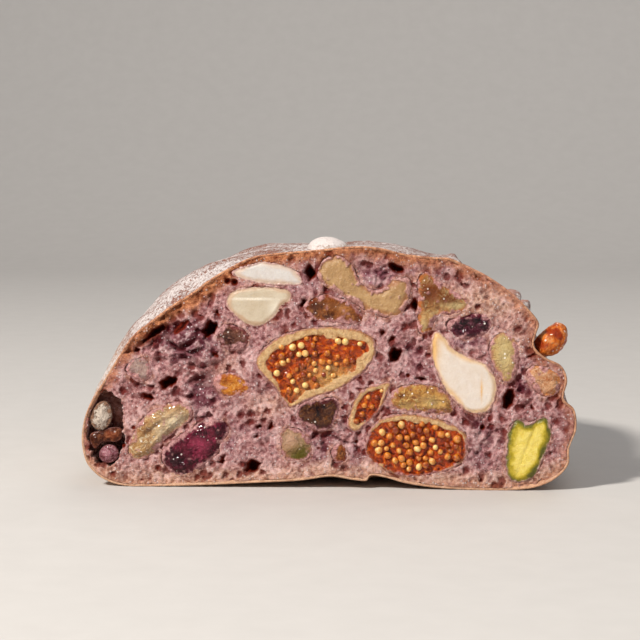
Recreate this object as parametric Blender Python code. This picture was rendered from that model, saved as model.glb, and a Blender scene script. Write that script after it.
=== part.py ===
"""The cut half of a fruit stollen: a dense loaf with a flat cut face, full of dried fruit and nuts.

Lengths are written in millimetres and multiplied by MM. The cut face is the plane Y = CUT_Y and looks
along -Y, +X is to the right of it, +Z is up, and the loaf rests on Z = 0. The loaf's far end is round.
"""

import math

import bmesh
import bpy
import numpy as np
from mathutils import Vector

MM = 0.001

# Driving dimensions
LOAF_DEPTH = 100.0
CUT_Y = -50.0
NOSE_X, NOSE_Z = 1.0, 13.0
SWELL_END, TAPER_START = 0.22, 0.42
NOSE_ROUNDNESS, BASE_SQUARENESS = 2.3, 7
BASE_TOP = 4.2
BASE_LEFT, BASE_RIGHT = -50.0, 48.0
CLEARANCE = 0.42
CUTTER_REACH = 5.0

# A piece in the cut: the scales of its proud front, where its edge starts, and how its back narrows
FRONT_SCALES, EDGE_DEPTH = (0.66, 0.88), 0.3
BACK_SHARE, BACK_SCALES = 0.6, (0.9, 0.62)

# How finely the solids are faceted
LOAF_SIDES = 92
BODY_RINGS, END_RINGS = 8, 9
RING_CROWDING = 1.15
OUTLINE_STEP, LEAST_SIDES = 2.4, 11
HOLE_SIDES = 9
SHARP_ANGLE = 50

# The loaf's outline at the cut, clockwise from the left side, as X and Z
RIM = [
    (-59.1, 11.0), (-58.4, 16.3), (-56.3, 21.3), (-53.2, 26.1), (-49.8, 31.6), (-46.4, 36.5),
    (-42.2, 39.8), (-37.6, 43.4), (-32.7, 46.4), (-27.9, 50.0), (-23.0, 52.9), (-18.0, 55.3),
    (-12.2, 56.3), (-3.0, 57.1), (6.2, 58.0), (12.2, 57.7), (18.6, 56.2), (25.1, 55.5),
    (29.0, 55.3), (32.7, 53.6), (37.2, 51.5), (42.5, 48.0), (46.5, 44.4), (49.9, 40.3),
    (49.4, 37.5), (48.9, 34.6), (51.6, 31.9), (55.3, 30.0), (56.8, 26.5), (56.0, 22.2),
    (58.5, 19.6), (59.1, 15.0), (57.5, 10.3), (57.3, 6.4), (54.2, 2.9), (49.6, 0.8),
    (43.4, 0.0), (34.4, 0.0), (26.2, 0.4), (18.9, 1.4), (13.8, 2.8), (10.4, 3.2),
    (9.4, 1.9), (5.7, 2.2), (0.7, 2.9), (-6.7, 1.8), (-18.2, 1.1), (-31.3, 0.4),
    (-43.7, 0.0), (-49.4, 0.2), (-53.5, 1.5), (-56.2, 3.4), (-58.2, 6.2),
]

# How much fuller the loaf is behind the cut, by the angle around its middle: degrees, millimetres
SWELL = [
    (-180, 1.6), (-165, 0.6), (-120, 0.0), (-60, 0.0), (-15, 0.6), (0, 0.3), (20, -0.8), (38, -1.2),
    (60, -1.4), (80, -0.7), (95, -0.7), (110, 0.7), (122, 2.4), (138, 4.4), (152, 4.2), (165, 2.2), (180, 1.6),
]

# The share of the outline that is evened out behind the cut, and the low lumps of the crust there:
# height, waves by X or Z, and how they turn along the depth
EVENED_SHARE = 1 / 26
LUMPS_ACROSS, LUMPS_UP = (0.4, 0.21, 11), (0.3, 0.33, -17)
LUMPS_FROM, LUMPS_RISE = 6.0, 10.0

# The score along the loaf's upper right: a sunk strip between two raised lips
SCORE_LEFT, SCORE_RIGHT = (31.0, 54.6), (47.2, 43.8)
LIP_HEIGHTS, LIP_WIDTH, SCORE_SINK = (1.2, 2.1), 2.3, 1.0
SINK_EDGE = 3.0
SCORE_END = 0.78
SCORE_FADES = (0.05, 0.12)

# Pieces in the cut face. Each has its outline, how far it reaches into the loaf and how far it stands proud.
NUTS_AND_FRUIT = {
    "almond_crescent": (
        [(-22.4, 51.6), (-18.7, 53.3), (-14.6, 54.0), (-8.8, 52.8), (-5.9, 49.9), (-6.7, 48.9),
         (-12.5, 48.9), (-18.7, 49.8)], 6.0, 0.3),
    "almond_half": (
        [(-23.8, 44.2), (-23.2, 46.3), (-20.7, 47.6), (-15.4, 48.0), (-10.0, 47.7), (-8.4, 46.4),
         (-8.8, 45.2), (-11.3, 43.5), (-12.9, 41.0), (-16.2, 39.1), (-19.1, 39.7), (-22.0, 41.7)], 6.5, 0.3),
    "almond_right": (
        [(24.8, 35.5), (25.6, 37.4), (27.2, 36.8), (30.3, 33.2), (34.4, 31.2), (37.6, 29.9),
         (39.6, 26.6), (39.9, 23.3), (38.7, 20.0), (36.5, 18.6), (33.2, 19.3), (29.7, 22.4),
         (26.6, 27.3), (25.2, 31.4)], 7.0, 0.3),
    "walnut": (
        [(-2.0, 50.9), (-1.3, 53.8), (0.7, 55.2), (3.6, 55.0), (5.7, 53.0), (7.1, 50.0),
         (9.8, 47.7), (12.6, 47.3), (15.1, 49.0), (17.6, 50.8), (19.3, 50.0), (19.4, 47.4),
         (18.4, 44.1), (16.8, 41.9), (13.9, 41.6), (10.2, 42.6), (6.5, 44.8), (2.4, 47.2),
         (-0.5, 48.9)], 6.0, 0.3),
    "pistachio": (
        [(43.2, 3.2), (42.7, 7.3), (42.8, 11.6), (43.6, 15.2), (45.1, 16.9), (47.4, 16.1),
         (49.3, 16.6), (51.0, 17.6), (52.3, 16.7), (53.0, 14.2), (52.3, 11.2), (51.0, 7.8),
         (49.8, 4.8), (47.9, 2.9), (45.1, 2.2)], 5.5, 0.3),
    "fig_middle": (
        [(-16.7, 31.0), (-14.9, 33.5), (-11.6, 36.0), (-6.7, 37.9), (-1.7, 38.7), (4.0, 38.5),
         (8.5, 37.4), (11.0, 35.2), (11.2, 32.5), (9.4, 29.2), (5.7, 26.1), (1.5, 23.6),
         (-2.6, 22.3), (-6.4, 20.6), (-9.0, 19.6), (-10.6, 21.8), (-12.4, 24.5), (-14.9, 26.9),
         (-16.5, 29.0)], 7.0, 0.2),
    "fig_lower": (
        [(9.4, 10.7), (10.2, 14.0), (12.6, 16.5), (17.2, 17.9), (22.9, 17.6), (28.7, 16.0),
         (32.4, 13.8), (33.0, 10.1), (32.0, 6.8), (27.9, 4.7), (21.3, 3.4), (16.3, 3.9),
         (12.2, 5.8), (9.8, 8.3)], 7.0, 0.2),
    "fig_side": (
        [(5.2, 14.8), (5.5, 18.1), (6.9, 21.8), (8.9, 23.9), (12.2, 25.1), (15.2, 25.6),
         (14.0, 23.1), (13.0, 20.3), (11.6, 18.2), (9.4, 15.9), (6.9, 14.0)], 5.0, 0.2),
    "raisin_amber": (
        [(-5.4, 43.1), (-3.4, 45.5), (-0.1, 46.4), (4.0, 45.2), (6.9, 43.2), (8.1, 40.7),
         (5.7, 39.7), (1.5, 40.2), (-2.6, 40.6)], 4.5, 0.2),
    "raisin_orange_left": (
        [(-26.8, 25.2), (-25.2, 27.2), (-21.6, 27.3), (-18.6, 25.6), (-18.4, 23.4), (-21.0, 22.2),
         (-24.8, 22.8)], 4.0, 0.3),
    "raisin_dark_centre": (
        [(-7.1, 18.4), (-5.4, 20.6), (-1.7, 21.0), (2.2, 21.6), (2.5, 18.9), (1.1, 15.6),
         (-0.9, 14.1), (-4.2, 15.1), (-6.3, 16.3)], 4.5, 0.4),
    "raisin_golden_left": (
        [(-47.8, 9.0), (-46.5, 12.7), (-44.1, 16.4), (-40.4, 18.9), (-36.3, 20.2), (-33.0, 19.2),
         (-32.4, 17.2), (-35.0, 14.9), (-38.9, 11.9), (-41.6, 8.6), (-44.5, 6.9), (-46.9, 7.3)], 5.0, 0.7),
    "raisin_golden_centre": (
        [(15.3, 22.3), (17.0, 24.3), (21.3, 25.2), (26.0, 24.4), (28.9, 22.0), (30.0, 19.3),
         (27.9, 18.6), (22.9, 18.9), (18.0, 19.1), (15.5, 20.0)], 4.5, 0.6),
    "raisin_green_right": (
        [(38.5, 34.0), (39.6, 36.7), (41.8, 37.5), (44.5, 35.3), (45.1, 30.7), (44.1, 27.0),
         (42.2, 25.9), (40.8, 27.9), (39.2, 30.7)], 4.5, 0.4),
    "raisin_green_top": (
        [(21.7, 50.0), (23.0, 51.8), (24.9, 50.7), (27.9, 48.3), (31.1, 46.3), (33.2, 44.7),
         (32.6, 43.1), (29.5, 42.3), (26.6, 42.3), (25.4, 40.5), (24.2, 38.2), (22.5, 37.3),
         (21.7, 40.0), (21.9, 44.5)], 5.0, 0.3),
    "raisin_green_low": (
        [(-11.2, 12.6), (-9.5, 14.5), (-6.7, 13.7), (-4.3, 11.4), (-3.8, 8.5), (-5.9, 6.7),
         (-9.5, 7.0), (-10.8, 9.7)], 4.0, 0.3),
    "raisin_dark_left": (
        [(-26.4, 36.7), (-25.0, 39.0), (-22.3, 38.7), (-19.6, 37.3), (-19.0, 35.1), (-21.1, 33.5),
         (-23.9, 33.6), (-25.8, 35.1)], 4.0, 0.3),
    "raisin_pale_left": (
        [(-48.0, 28.8), (-46.4, 31.0), (-44.0, 30.8), (-42.2, 28.6), (-42.6, 26.4), (-45.0, 25.6),
         (-47.2, 26.6)], 3.5, 0.2),
    "raisin_amber_low": (
        [(1.1, 9.0), (2.2, 10.8), (4.0, 10.2), (4.6, 8.0), (3.4, 6.5), (1.7, 6.9)], 3.0, 0.2),
    "raisin_peach_right": (
        [(47.4, 28.4), (48.3, 29.8), (50.3, 29.8), (52.8, 29.0), (54.5, 28.2), (55.0, 26.5),
         (54.4, 24.0), (52.4, 22.8), (50.3, 23.6), (48.2, 25.6)], 4.5, 0.8),
    "cranberry": (
        [(-39.6, 7.8), (-37.6, 10.4), (-34.2, 12.9), (-30.9, 15.0), (-27.2, 16.3), (-24.3, 15.7),
         (-24.0, 13.3), (-25.6, 10.4), (-27.6, 7.1), (-31.3, 4.6), (-35.0, 3.2), (-37.9, 4.6)], 5.5, 0.9),
    "berry_dark_right": (
        [(28.8, 39.9), (30.8, 41.1), (35.0, 42.0), (38.0, 41.4), (38.7, 39.6), (36.9, 37.3),
         (33.8, 36.2), (30.6, 36.6), (28.8, 38.4)], 4.5, 0.2),
}

# The hollow at the far left, and the three pieces that lie in it
HOLLOW = (
    [(-56.2, 20.1), (-53.5, 22.3), (-50.9, 22.3), (-49.4, 20.8), (-49.0, 18.2), (-49.2, 15.3),
     (-48.9, 11.4), (-49.9, 7.2), (-51.8, 5.0), (-54.5, 5.4), (-56.5, 8.2), (-57.6, 12.0),
     (-57.4, 16.3)], 6.5)
HOLLOW_SCALES = (1.0, 0.94)
IN_THE_HOLLOW = {
    "nut_dusted": (
        [(-55.9, 18.8), (-54.3, 20.5), (-52.6, 19.9), (-51.9, 17.4), (-52.4, 15.0), (-54.4, 13.6),
         (-56.2, 14.4), (-56.9, 16.5)], 6.1, 0.1),
    "raisin_brown_left": (
        [(-57.0, 12.4), (-55.2, 13.2), (-52.4, 13.9), (-50.0, 14.2), (-49.5, 11.9), (-50.2, 10.9),
         (-52.4, 10.9), (-54.8, 10.4), (-55.9, 9.0), (-56.8, 10.2)], 6.1, -0.9),
    "currant_left": (
        [(-54.9, 7.6), (-53.9, 9.4), (-52.0, 9.9), (-50.5, 8.5), (-50.6, 6.8), (-52.2, 5.8),
         (-54.1, 6.1)], 6.1, -0.5),
}

# Holes in the crumb: centre X and Z, half width, half height, tilt in degrees, depth
HOLES = [
    (-3.8, 51.5, 1.6, 1.9, 0, 5.0), (-28.0, 37.7, 1.7, 2.5, -32, 6.0), (-41.4, 37.0, 4.2, 0.9, 38, 5.5),
    (-45.6, 32.9, 1.3, 1.2, 20, 4.0), (-38.1, 25.2, 2.6, 1.8, 25, 4.5), (16.2, 32.2, 1.8, 2.1, 20, 5.5),
    (22.5, 26.5, 2.2, 0.8, -5, 4.5), (-16.5, 14.7, 1.0, 0.9, 0, 4.0), (-16.7, 12.3, 0.9, 0.8, 0, 4.0),
    (16.2, 53.0, 2.4, 1.2, -42, 4.0), (20.7, 44.2, 1.1, 2.6, 12, 4.0), (-26.2, 41.9, 1.1, 1.5, 15, 3.5),
    (-26.8, 32.2, 1.1, 1.1, 0, 3.0), (43.0, 21.6, 2.0, 2.9, -20, 4.5), (-18.0, 5.0, 2.3, 2.0, 20, 4.0),
    (-42.9, 21.7, 1.7, 1.1, -20, 3.0), (-13.4, 14.6, 1.6, 1.3, 35, 3.0), (13.1, 37.5, 0.8, 0.8, 0, 3.0),
    (15.4, 35.9, 1.2, 0.8, 20, 3.0), (-5.8, 44.4, 1.1, 1.5, -30, 4.0), (-25.0, 6.6, 1.2, 1.9, -20, 3.5),
    (48.6, 19.8, 0.6, 1.7, 15, 3.0),
]
HOLE_UNEVEN = 0.16
HOLE_LEVELS = [(0.6, 0.85), (1.0, 0.45)]

# Almond that pokes through the crust behind the cut, and the raisin that hangs out of the right edge
ALMOND_TOP_AT, ALMOND_TOP_SIZE = (-1.6, -31.0, 55.6), (5.0, 7.4, 3.6)
ALMOND_TOP_TURN, ALMOND_TOP_SIDES = 24.0, 14
ALMOND_TOP_NARROWING = 0.22
ORANGE_RAISIN = [
    (49.4, 35.6), (50.9, 37.3), (53.0, 39.0), (55.0, 39.9), (56.2, 39.2), (56.8, 37.0),
    (56.5, 35.1), (55.0, 33.1), (52.8, 31.9), (50.6, 31.9), (49.3, 33.4),
]
ORANGE_RAISIN_LEVELS = [(0.4, 0.55), (1.4, 0.85), (3.2, 1.0), (5.2, 0.85), (6.8, 0.5)]

# Seeds that stand out of the fig flesh
SEED_RADIUS, SEED_PROUD = 0.68, 0.3
RIND_WIDTH, FLESH_SINK = 1.3, 0.5
SEEDS = {"fig_middle": (34, 3), "fig_lower": (40, 5), "fig_side": (7, 11)}
SEED_SPACING, SEED_TRIES = 1.75, 6000

COLOURS = {
    "loaf": (0.42, 0.25, 0.24), "almond": (0.83, 0.74, 0.58), "walnut": (0.55, 0.40, 0.20),
    "pistachio": (0.72, 0.62, 0.10), "fig": (0.50, 0.20, 0.05), "amber": (0.42, 0.19, 0.07),
    "golden": (0.47, 0.34, 0.11), "orange": (0.66, 0.21, 0.05), "dark": (0.10, 0.03, 0.04),
}


def material(name, colour, roughness):
    """A plain Principled material, one for each kind of piece."""
    found = bpy.data.materials.get(name)
    if found:
        return found
    made = bpy.data.materials.new(name)
    made.use_nodes = True
    shader = made.node_tree.nodes["Principled BSDF"]
    shader.inputs["Base Color"].default_value = (*colour, 1)
    shader.inputs["Roughness"].default_value = roughness
    shader.inputs["Metallic"].default_value = 0.0
    return made


def kind_of(name):
    """The colour that a piece takes, from its name."""
    for word in ("almond", "walnut", "pistachio", "fig", "orange", "amber", "golden", "green"):
        if word in name:
            return "golden" if word == "green" else word
    if name in ("nut_dusted", "raisin_peach_right", "raisin_pale_left"):
        return "amber"
    return "loaf" if name == "loaf" else "dark"


def new_object(name, shape, collection):
    """An object made from a bmesh, which is freed."""
    bmesh.ops.recalc_face_normals(shape, faces=shape.faces)
    mesh = bpy.data.meshes.new(name)
    shape.to_mesh(mesh)
    shape.free()
    made = bpy.data.objects.new(name, mesh)
    collection.objects.link(made)
    kind = kind_of(name)
    made.data.materials.append(material(kind, COLOURS[kind], 0.7 if kind == "loaf" else 0.35))
    return made


def closed_spline(points, count):
    """count points evenly spaced along the smooth closed curve through points, from the first one on."""
    p = np.array(points, float)
    fine = []
    steps = np.linspace(0, 1, 24, endpoint=False)[:, None]
    for i in range(len(p)):
        a, b, c, d = p[i - 1], p[i], p[(i + 1) % len(p)], p[(i + 2) % len(p)]
        fine.append(b + 0.5 * steps * (c - a + steps * (2 * a - 5 * b + 4 * c - d + steps * (3 * (b - c) + d - a))))
    fine = np.concatenate(fine)
    loop = np.vstack([fine, fine[:1]])
    length = np.concatenate([[0], np.cumsum(np.linalg.norm(np.diff(loop, axis=0), axis=1))])
    at = np.linspace(0, length[-1], count, endpoint=False)
    return np.column_stack([np.interp(at, length, loop[:, k]) for k in (0, 1)])


def outward_normals(outline):
    """Unit normals in the plane of a closed outline, pointing out of it."""
    along = np.roll(outline, -1, axis=0) - np.roll(outline, 1, axis=0)
    normals = np.column_stack([-along[:, 1], along[:, 0]])
    normals /= np.linalg.norm(normals, axis=1)[:, None]
    x, z = outline[:, 0], outline[:, 1]
    clockwise = np.sum(x * np.roll(z, -1) - z * np.roll(x, -1)) < 0
    return normals if clockwise else -normals


def loft(shape, rings, close_start=True, close_end=True):
    """Faces between rings of equally many points, each an array of X, Y, Z in millimetres, with flat ends."""
    made = [[shape.verts.new(Vector(p) * MM) for p in ring] for ring in rings]
    for first, second in zip(made, made[1:]):
        count = len(first)
        for i in range(count):
            j = (i + 1) % count
            shape.faces.new((first[i], first[j], second[j], second[i]))
    if close_start:
        shape.faces.new(made[0])
    if close_end:
        shape.faces.new(made[-1])
    return made


def standing_ring(outline, y, scale=1.0, grow=0.0):
    """The outline scaled about its middle and moved out by grow, as a ring in the plane Y = y."""
    middle = outline.mean(axis=0)
    moved = middle + (outline - middle) * scale + outward_normals(outline) * grow
    return np.column_stack([moved[:, 0], np.full(len(moved), y), moved[:, 1]])


def moved_in(outline, amount):
    """The outline moved in by amount in small steps, each one evened out a little so that no tip folds."""
    moved = outline.copy()
    steps = max(1, round(amount / 0.2))
    for _ in range(steps):
        moved = moved - outward_normals(moved) * amount / steps
        moved = 0.8 * moved + 0.1 * (np.roll(moved, 1, axis=0) + np.roll(moved, -1, axis=0))
    return moved


def around_count(points):
    """How many sides an outline's ring has, from its length."""
    p = np.array(points, float)
    around = np.linalg.norm(np.roll(p, -1, axis=0) - p, axis=1).sum()
    return max(LEAST_SIDES, round(around / OUTLINE_STEP))


def piece_in_cut(name, points, depth, proud, collection):
    """A nut or fruit that shows in the cut face: a flat or slightly domed front, and a rounded back."""
    outline = closed_spline(points, around_count(points))
    if name.startswith("fig"):
        rings = [
            standing_ring(moved_in(outline, RIND_WIDTH), CUT_Y + FLESH_SINK),
            standing_ring(moved_in(outline, RIND_WIDTH * 0.6), CUT_Y - proud),
            standing_ring(outline, CUT_Y),
        ]
    else:
        rings = [
            standing_ring(outline, CUT_Y - proud, FRONT_SCALES[0]),
            standing_ring(outline, CUT_Y - proud * 0.6, FRONT_SCALES[1]),
            standing_ring(outline, CUT_Y + EDGE_DEPTH),
        ]
    rings.append(standing_ring(outline, CUT_Y + depth * BACK_SHARE, BACK_SCALES[0]))
    rings.append(standing_ring(outline, CUT_Y + depth, BACK_SCALES[1]))
    shape = bmesh.new()
    loft(shape, rings)
    return new_object(name, shape, collection)


def pocket_for(name, points, depth, collection, scales=BACK_SCALES):
    """The cutter of a piece's pocket: the piece's own form, larger by the clearance."""
    outline = closed_spline(points, around_count(points))
    rings = [
        standing_ring(outline, CUT_Y - CUTTER_REACH, grow=CLEARANCE),
        standing_ring(outline, CUT_Y + EDGE_DEPTH, grow=CLEARANCE),
        standing_ring(outline, CUT_Y + depth * BACK_SHARE, scales[0], CLEARANCE),
        standing_ring(outline, CUT_Y + depth + CLEARANCE, scales[1], CLEARANCE),
    ]
    shape = bmesh.new()
    loft(shape, rings)
    return new_object("cut_" + name, shape, collection)


def hole_cutter(index, hole, collection):
    """The cutter of one hole of the crumb: an uneven oval that narrows inwards."""
    x, z, wide, high, tilt, depth = hole
    draw = np.random.default_rng(100 + index)
    angles = np.linspace(0, 2 * math.pi, HOLE_SIDES, endpoint=False)
    reach = 1 + draw.uniform(-HOLE_UNEVEN, HOLE_UNEVEN, HOLE_SIDES)
    turn = math.radians(tilt)
    across, up = wide * reach * np.cos(angles), high * reach * np.sin(angles)
    outline = np.column_stack([
        x + across * math.cos(turn) - up * math.sin(turn),
        z + across * math.sin(turn) + up * math.cos(turn),
    ])
    rings = [standing_ring(outline, CUT_Y - CUTTER_REACH)]
    rings += [standing_ring(outline, CUT_Y + depth * share, scale) for share, scale in HOLE_LEVELS]
    shape = bmesh.new()
    loft(shape, rings)
    return new_object(f"cut_hole_{index:02d}", shape, collection)


def smooth_step(value):
    """0 below 0, 1 above 1 and a smooth rise between."""
    v = np.clip(value, 0, 1)
    return v * v * (3 - 2 * v)


def rounded_outline(outline):
    """The loaf's outline away from the cut: without the cut's roughness, flat below and a little fuller."""
    spread = max(1, int(len(outline) * EVENED_SHARE))
    even = sum(np.roll(outline, k, axis=0) for k in range(-spread, spread + 1)) / (2 * spread + 1)
    under = (even[:, 1] < BASE_TOP) & (even[:, 0] > BASE_LEFT) & (even[:, 0] < BASE_RIGHT)
    even[under, 1] = 0.0
    angle = np.degrees(np.arctan2(even[:, 1] - NOSE_Z, even[:, 0] - NOSE_X))
    swell = np.interp(angle, *np.array(SWELL).T)
    swell[even[:, 1] < 1.0] = 0
    return even + outward_normals(even) * swell[:, None]


def score_relief(outline, share):
    """How far the score's lips and sunk strip move each point of the section at this share of the depth."""
    near = [np.argmin(np.linalg.norm(outline - np.array(p), axis=1)) for p in (SCORE_LEFT, SCORE_RIGHT)]
    step = np.linalg.norm(outline[1] - outline[0])
    place = (np.arange(len(outline)) - near[0]) * step
    width = (near[1] - near[0]) * step
    lips = sum(
        height * np.exp(-(((place - at) / LIP_WIDTH) ** 2)) for height, at in zip(LIP_HEIGHTS, (0, width))
    )
    inside = smooth_step(place / SINK_EDGE) * smooth_step((width - place) / SINK_EDGE)
    fade = smooth_step(share / SCORE_FADES[0]) * smooth_step((SCORE_END - share) / SCORE_FADES[1])
    return (lips - SCORE_SINK * inside) * fade


def loaf_section(outline, rounded, share):
    """The loaf's section at a share of its depth, as X and Z. It is the cut's outline at 0 and a point at 1."""
    away = 1 - (1 - min(share / SWELL_END, 1)) ** 2
    section = outline * (1 - away) + rounded * away
    lumps = np.zeros(len(section))
    for axis, (height, waves, turn) in enumerate((LUMPS_ACROSS, LUMPS_UP)):
        lumps += height * np.sin(section[:, axis] * waves + share * turn)
    lumps *= away * smooth_step((section[:, 1] - LUMPS_FROM) / LUMPS_RISE)
    section = section + outward_normals(section) * (lumps + score_relief(outline, share))[:, None]
    end = max(0.0, (share - TAPER_START) / (1 - TAPER_START))
    narrow = (1 - end**NOSE_ROUNDNESS) ** (1 / NOSE_ROUNDNESS)
    low = (1 - end**BASE_SQUARENESS) ** (1 / BASE_SQUARENESS)
    x, z = section[:, 0], np.maximum(section[:, 1], 0)
    below = z < NOSE_Z
    return np.column_stack([
        NOSE_X + (x - NOSE_X) * narrow,
        np.where(below, NOSE_Z - (NOSE_Z - z) * low, NOSE_Z + (z - NOSE_Z) * narrow),
    ])


def build_loaf(collection):
    """The loaf before its pockets are cut: sections from the cut face to the round far end."""
    outline = closed_spline(RIM, LOAF_SIDES)
    rounded = rounded_outline(outline)
    body = np.linspace(0, 1, BODY_RINGS, endpoint=False) ** RING_CROWDING * TAPER_START
    turns = np.linspace(0, math.pi / 2, END_RINGS, endpoint=False)
    shares = [*body, *(TAPER_START + (1 - TAPER_START) * np.sin(turns))]
    rings = []
    for share in shares:
        section = loaf_section(outline, rounded, share)
        rings.append(np.column_stack([section[:, 0], np.full(LOAF_SIDES, CUT_Y + share * LOAF_DEPTH), section[:, 1]]))
    shape = bmesh.new()
    made = loft(shape, rings, close_end=False)
    nose = shape.verts.new(Vector((NOSE_X, CUT_Y + LOAF_DEPTH, NOSE_Z)) * MM)
    last = made[-1]
    for i in range(LOAF_SIDES):
        shape.faces.new((last[i], last[(i + 1) % LOAF_SIDES], nose))
    loaf = new_object("loaf", shape, collection)
    loaf.data.shade_smooth()
    loaf.data.set_sharp_from_angle(angle=math.radians(SHARP_ANGLE))
    return loaf


def orange_raisin(name, grow, collection):
    """The raisin that stands out of the right edge, or its cutter, which is larger by grow."""
    outline = closed_spline(ORANGE_RAISIN, around_count(ORANGE_RAISIN))
    rings = [standing_ring(outline, CUT_Y + y, scale, grow) for y, scale in ORANGE_RAISIN_LEVELS]
    rings[-1][:, 1] += grow
    if grow:
        rings[0][:, 1] -= CUTTER_REACH
    shape = bmesh.new()
    loft(shape, rings)
    return new_object(name, shape, collection)


def almond_on_top(name, grow, collection):
    """The almond that pokes out of the top crust, or its cutter, which is larger by grow."""
    shape = bmesh.new()
    bmesh.ops.create_uvsphere(shape, u_segments=ALMOND_TOP_SIDES, v_segments=ALMOND_TOP_SIDES // 2, radius=1)
    turn = math.radians(ALMOND_TOP_TURN)
    wide, long, high = (size + grow for size in ALMOND_TOP_SIZE)
    for v in shape.verts:
        point = v.co
        narrowing = 1 - ALMOND_TOP_NARROWING * point.y
        x, y, z = point.x * wide * narrowing, point.y * long, point.z * high
        turned = (x * math.cos(turn) - y * math.sin(turn), x * math.sin(turn) + y * math.cos(turn), z)
        v.co = (Vector(ALMOND_TOP_AT) + Vector(turned)) * MM
    return new_object(name, shape, collection)


def inside_outline(outline, x, z):
    """Whether a point lies inside a closed outline."""
    ahead = np.roll(outline, -1, axis=0)
    crosses = (outline[:, 1] > z) != (ahead[:, 1] > z)
    rise = np.where(crosses, ahead[:, 1] - outline[:, 1], 1)
    at = outline[:, 0] + (z - outline[:, 1]) * (ahead[:, 0] - outline[:, 0]) / rise
    return bool(np.sum(crosses & (x < at)) % 2)


def seed_places(points, wanted, seed):
    """Places for a fig's seeds: spread evenly over the flesh, clear of the rind and of each other."""
    outline = closed_spline(points, 120)
    draw = np.random.default_rng(seed)
    low, high = outline.min(axis=0), outline.max(axis=0)
    places = []
    for _ in range(SEED_TRIES):
        place = draw.uniform(low, high)
        from_rind = np.linalg.norm(outline - place, axis=1).min() - RIND_WIDTH
        clear = all(np.linalg.norm(place - other) > SEED_SPACING for other in places)
        if clear and from_rind > SEED_RADIUS and inside_outline(outline, *place):
            places.append(place)
        if len(places) == wanted:
            break
    return places


def add_seeds(fig, points, wanted, seed):
    """Fuses the seeds to a fig with one Boolean union on their collection, and removes them."""
    seeds = bpy.data.collections.new("seeds_" + fig.name)
    bpy.context.scene.collection.children.link(seeds)
    for number, (x, z) in enumerate(seed_places(points, wanted, seed)):
        shape = bmesh.new()
        bmesh.ops.create_icosphere(shape, subdivisions=1, radius=SEED_RADIUS * MM)
        made = new_object(f"seed_{fig.name}_{number}", shape, seeds)
        made.location = Vector((x, CUT_Y + FLESH_SINK + SEED_RADIUS - 2 * SEED_PROUD, z)) * MM
        made.rotation_euler = (number * 0.7, number * 1.1, 0)
    union = fig.modifiers.new("seeds", "BOOLEAN")
    union.operation = "UNION"
    union.operand_type = "COLLECTION"
    union.collection = seeds
    union.solver = "EXACT"
    graph = bpy.context.evaluated_depsgraph_get()
    joined = bpy.data.meshes.new_from_object(fig.evaluated_get(graph))
    fig.modifiers.remove(union)
    fig.data = joined
    for made in list(seeds.objects):
        bpy.data.objects.remove(made)
    bpy.data.collections.remove(seeds)


def cut(target, cutters):
    """Cuts a collection of closed cutters out of an object."""
    for cutter in cutters.objects:
        cutter.hide_render = True
        cutter.display_type = "WIRE"
    difference = target.modifiers.new("pockets", "BOOLEAN")
    difference.operation = "DIFFERENCE"
    difference.operand_type = "COLLECTION"
    difference.collection = cutters
    difference.solver = "EXACT"


def main():
    for old in list(bpy.data.objects):
        bpy.data.objects.remove(old)
    stollen = bpy.data.collections.new("stollen")
    cutters = bpy.data.collections.new("cutters")
    for collection in (stollen, cutters):
        bpy.context.scene.collection.children.link(collection)

    loaf = build_loaf(stollen)
    for name, (points, depth, proud) in NUTS_AND_FRUIT.items():
        piece = piece_in_cut(name, points, depth, proud, stollen)
        if name in SEEDS:
            add_seeds(piece, points, *SEEDS[name])
        pocket_for(name, points, depth, cutters)
    for name, (points, depth, proud) in IN_THE_HOLLOW.items():
        piece_in_cut(name, points, depth, proud, stollen)
    pocket_for("hollow", *HOLLOW, cutters, HOLLOW_SCALES)
    for index, hole in enumerate(HOLES):
        hole_cutter(index, hole, cutters)
    orange_raisin("raisin_orange_out", 0.0, stollen)
    orange_raisin("cut_raisin_orange_out", CLEARANCE, cutters)
    almond_on_top("almond_top", 0.0, stollen)
    almond_on_top("cut_almond_top", CLEARANCE, cutters)
    cut(loaf, cutters)


main()
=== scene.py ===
"""The looks of the cut fruit stollen: its crumb, crust, fruit, nuts and seeds as fine meshes.

Lengths in the shapes are millimetres, as in the solids, and MM turns them into metres. The cut face is
the plane Y = CUT_Y, seen from -Y. Depth means the distance behind that plane.
"""

import math

import bmesh
import bpy
import numpy as np
from mathutils import Matrix, Vector, geometry, kdtree


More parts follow.
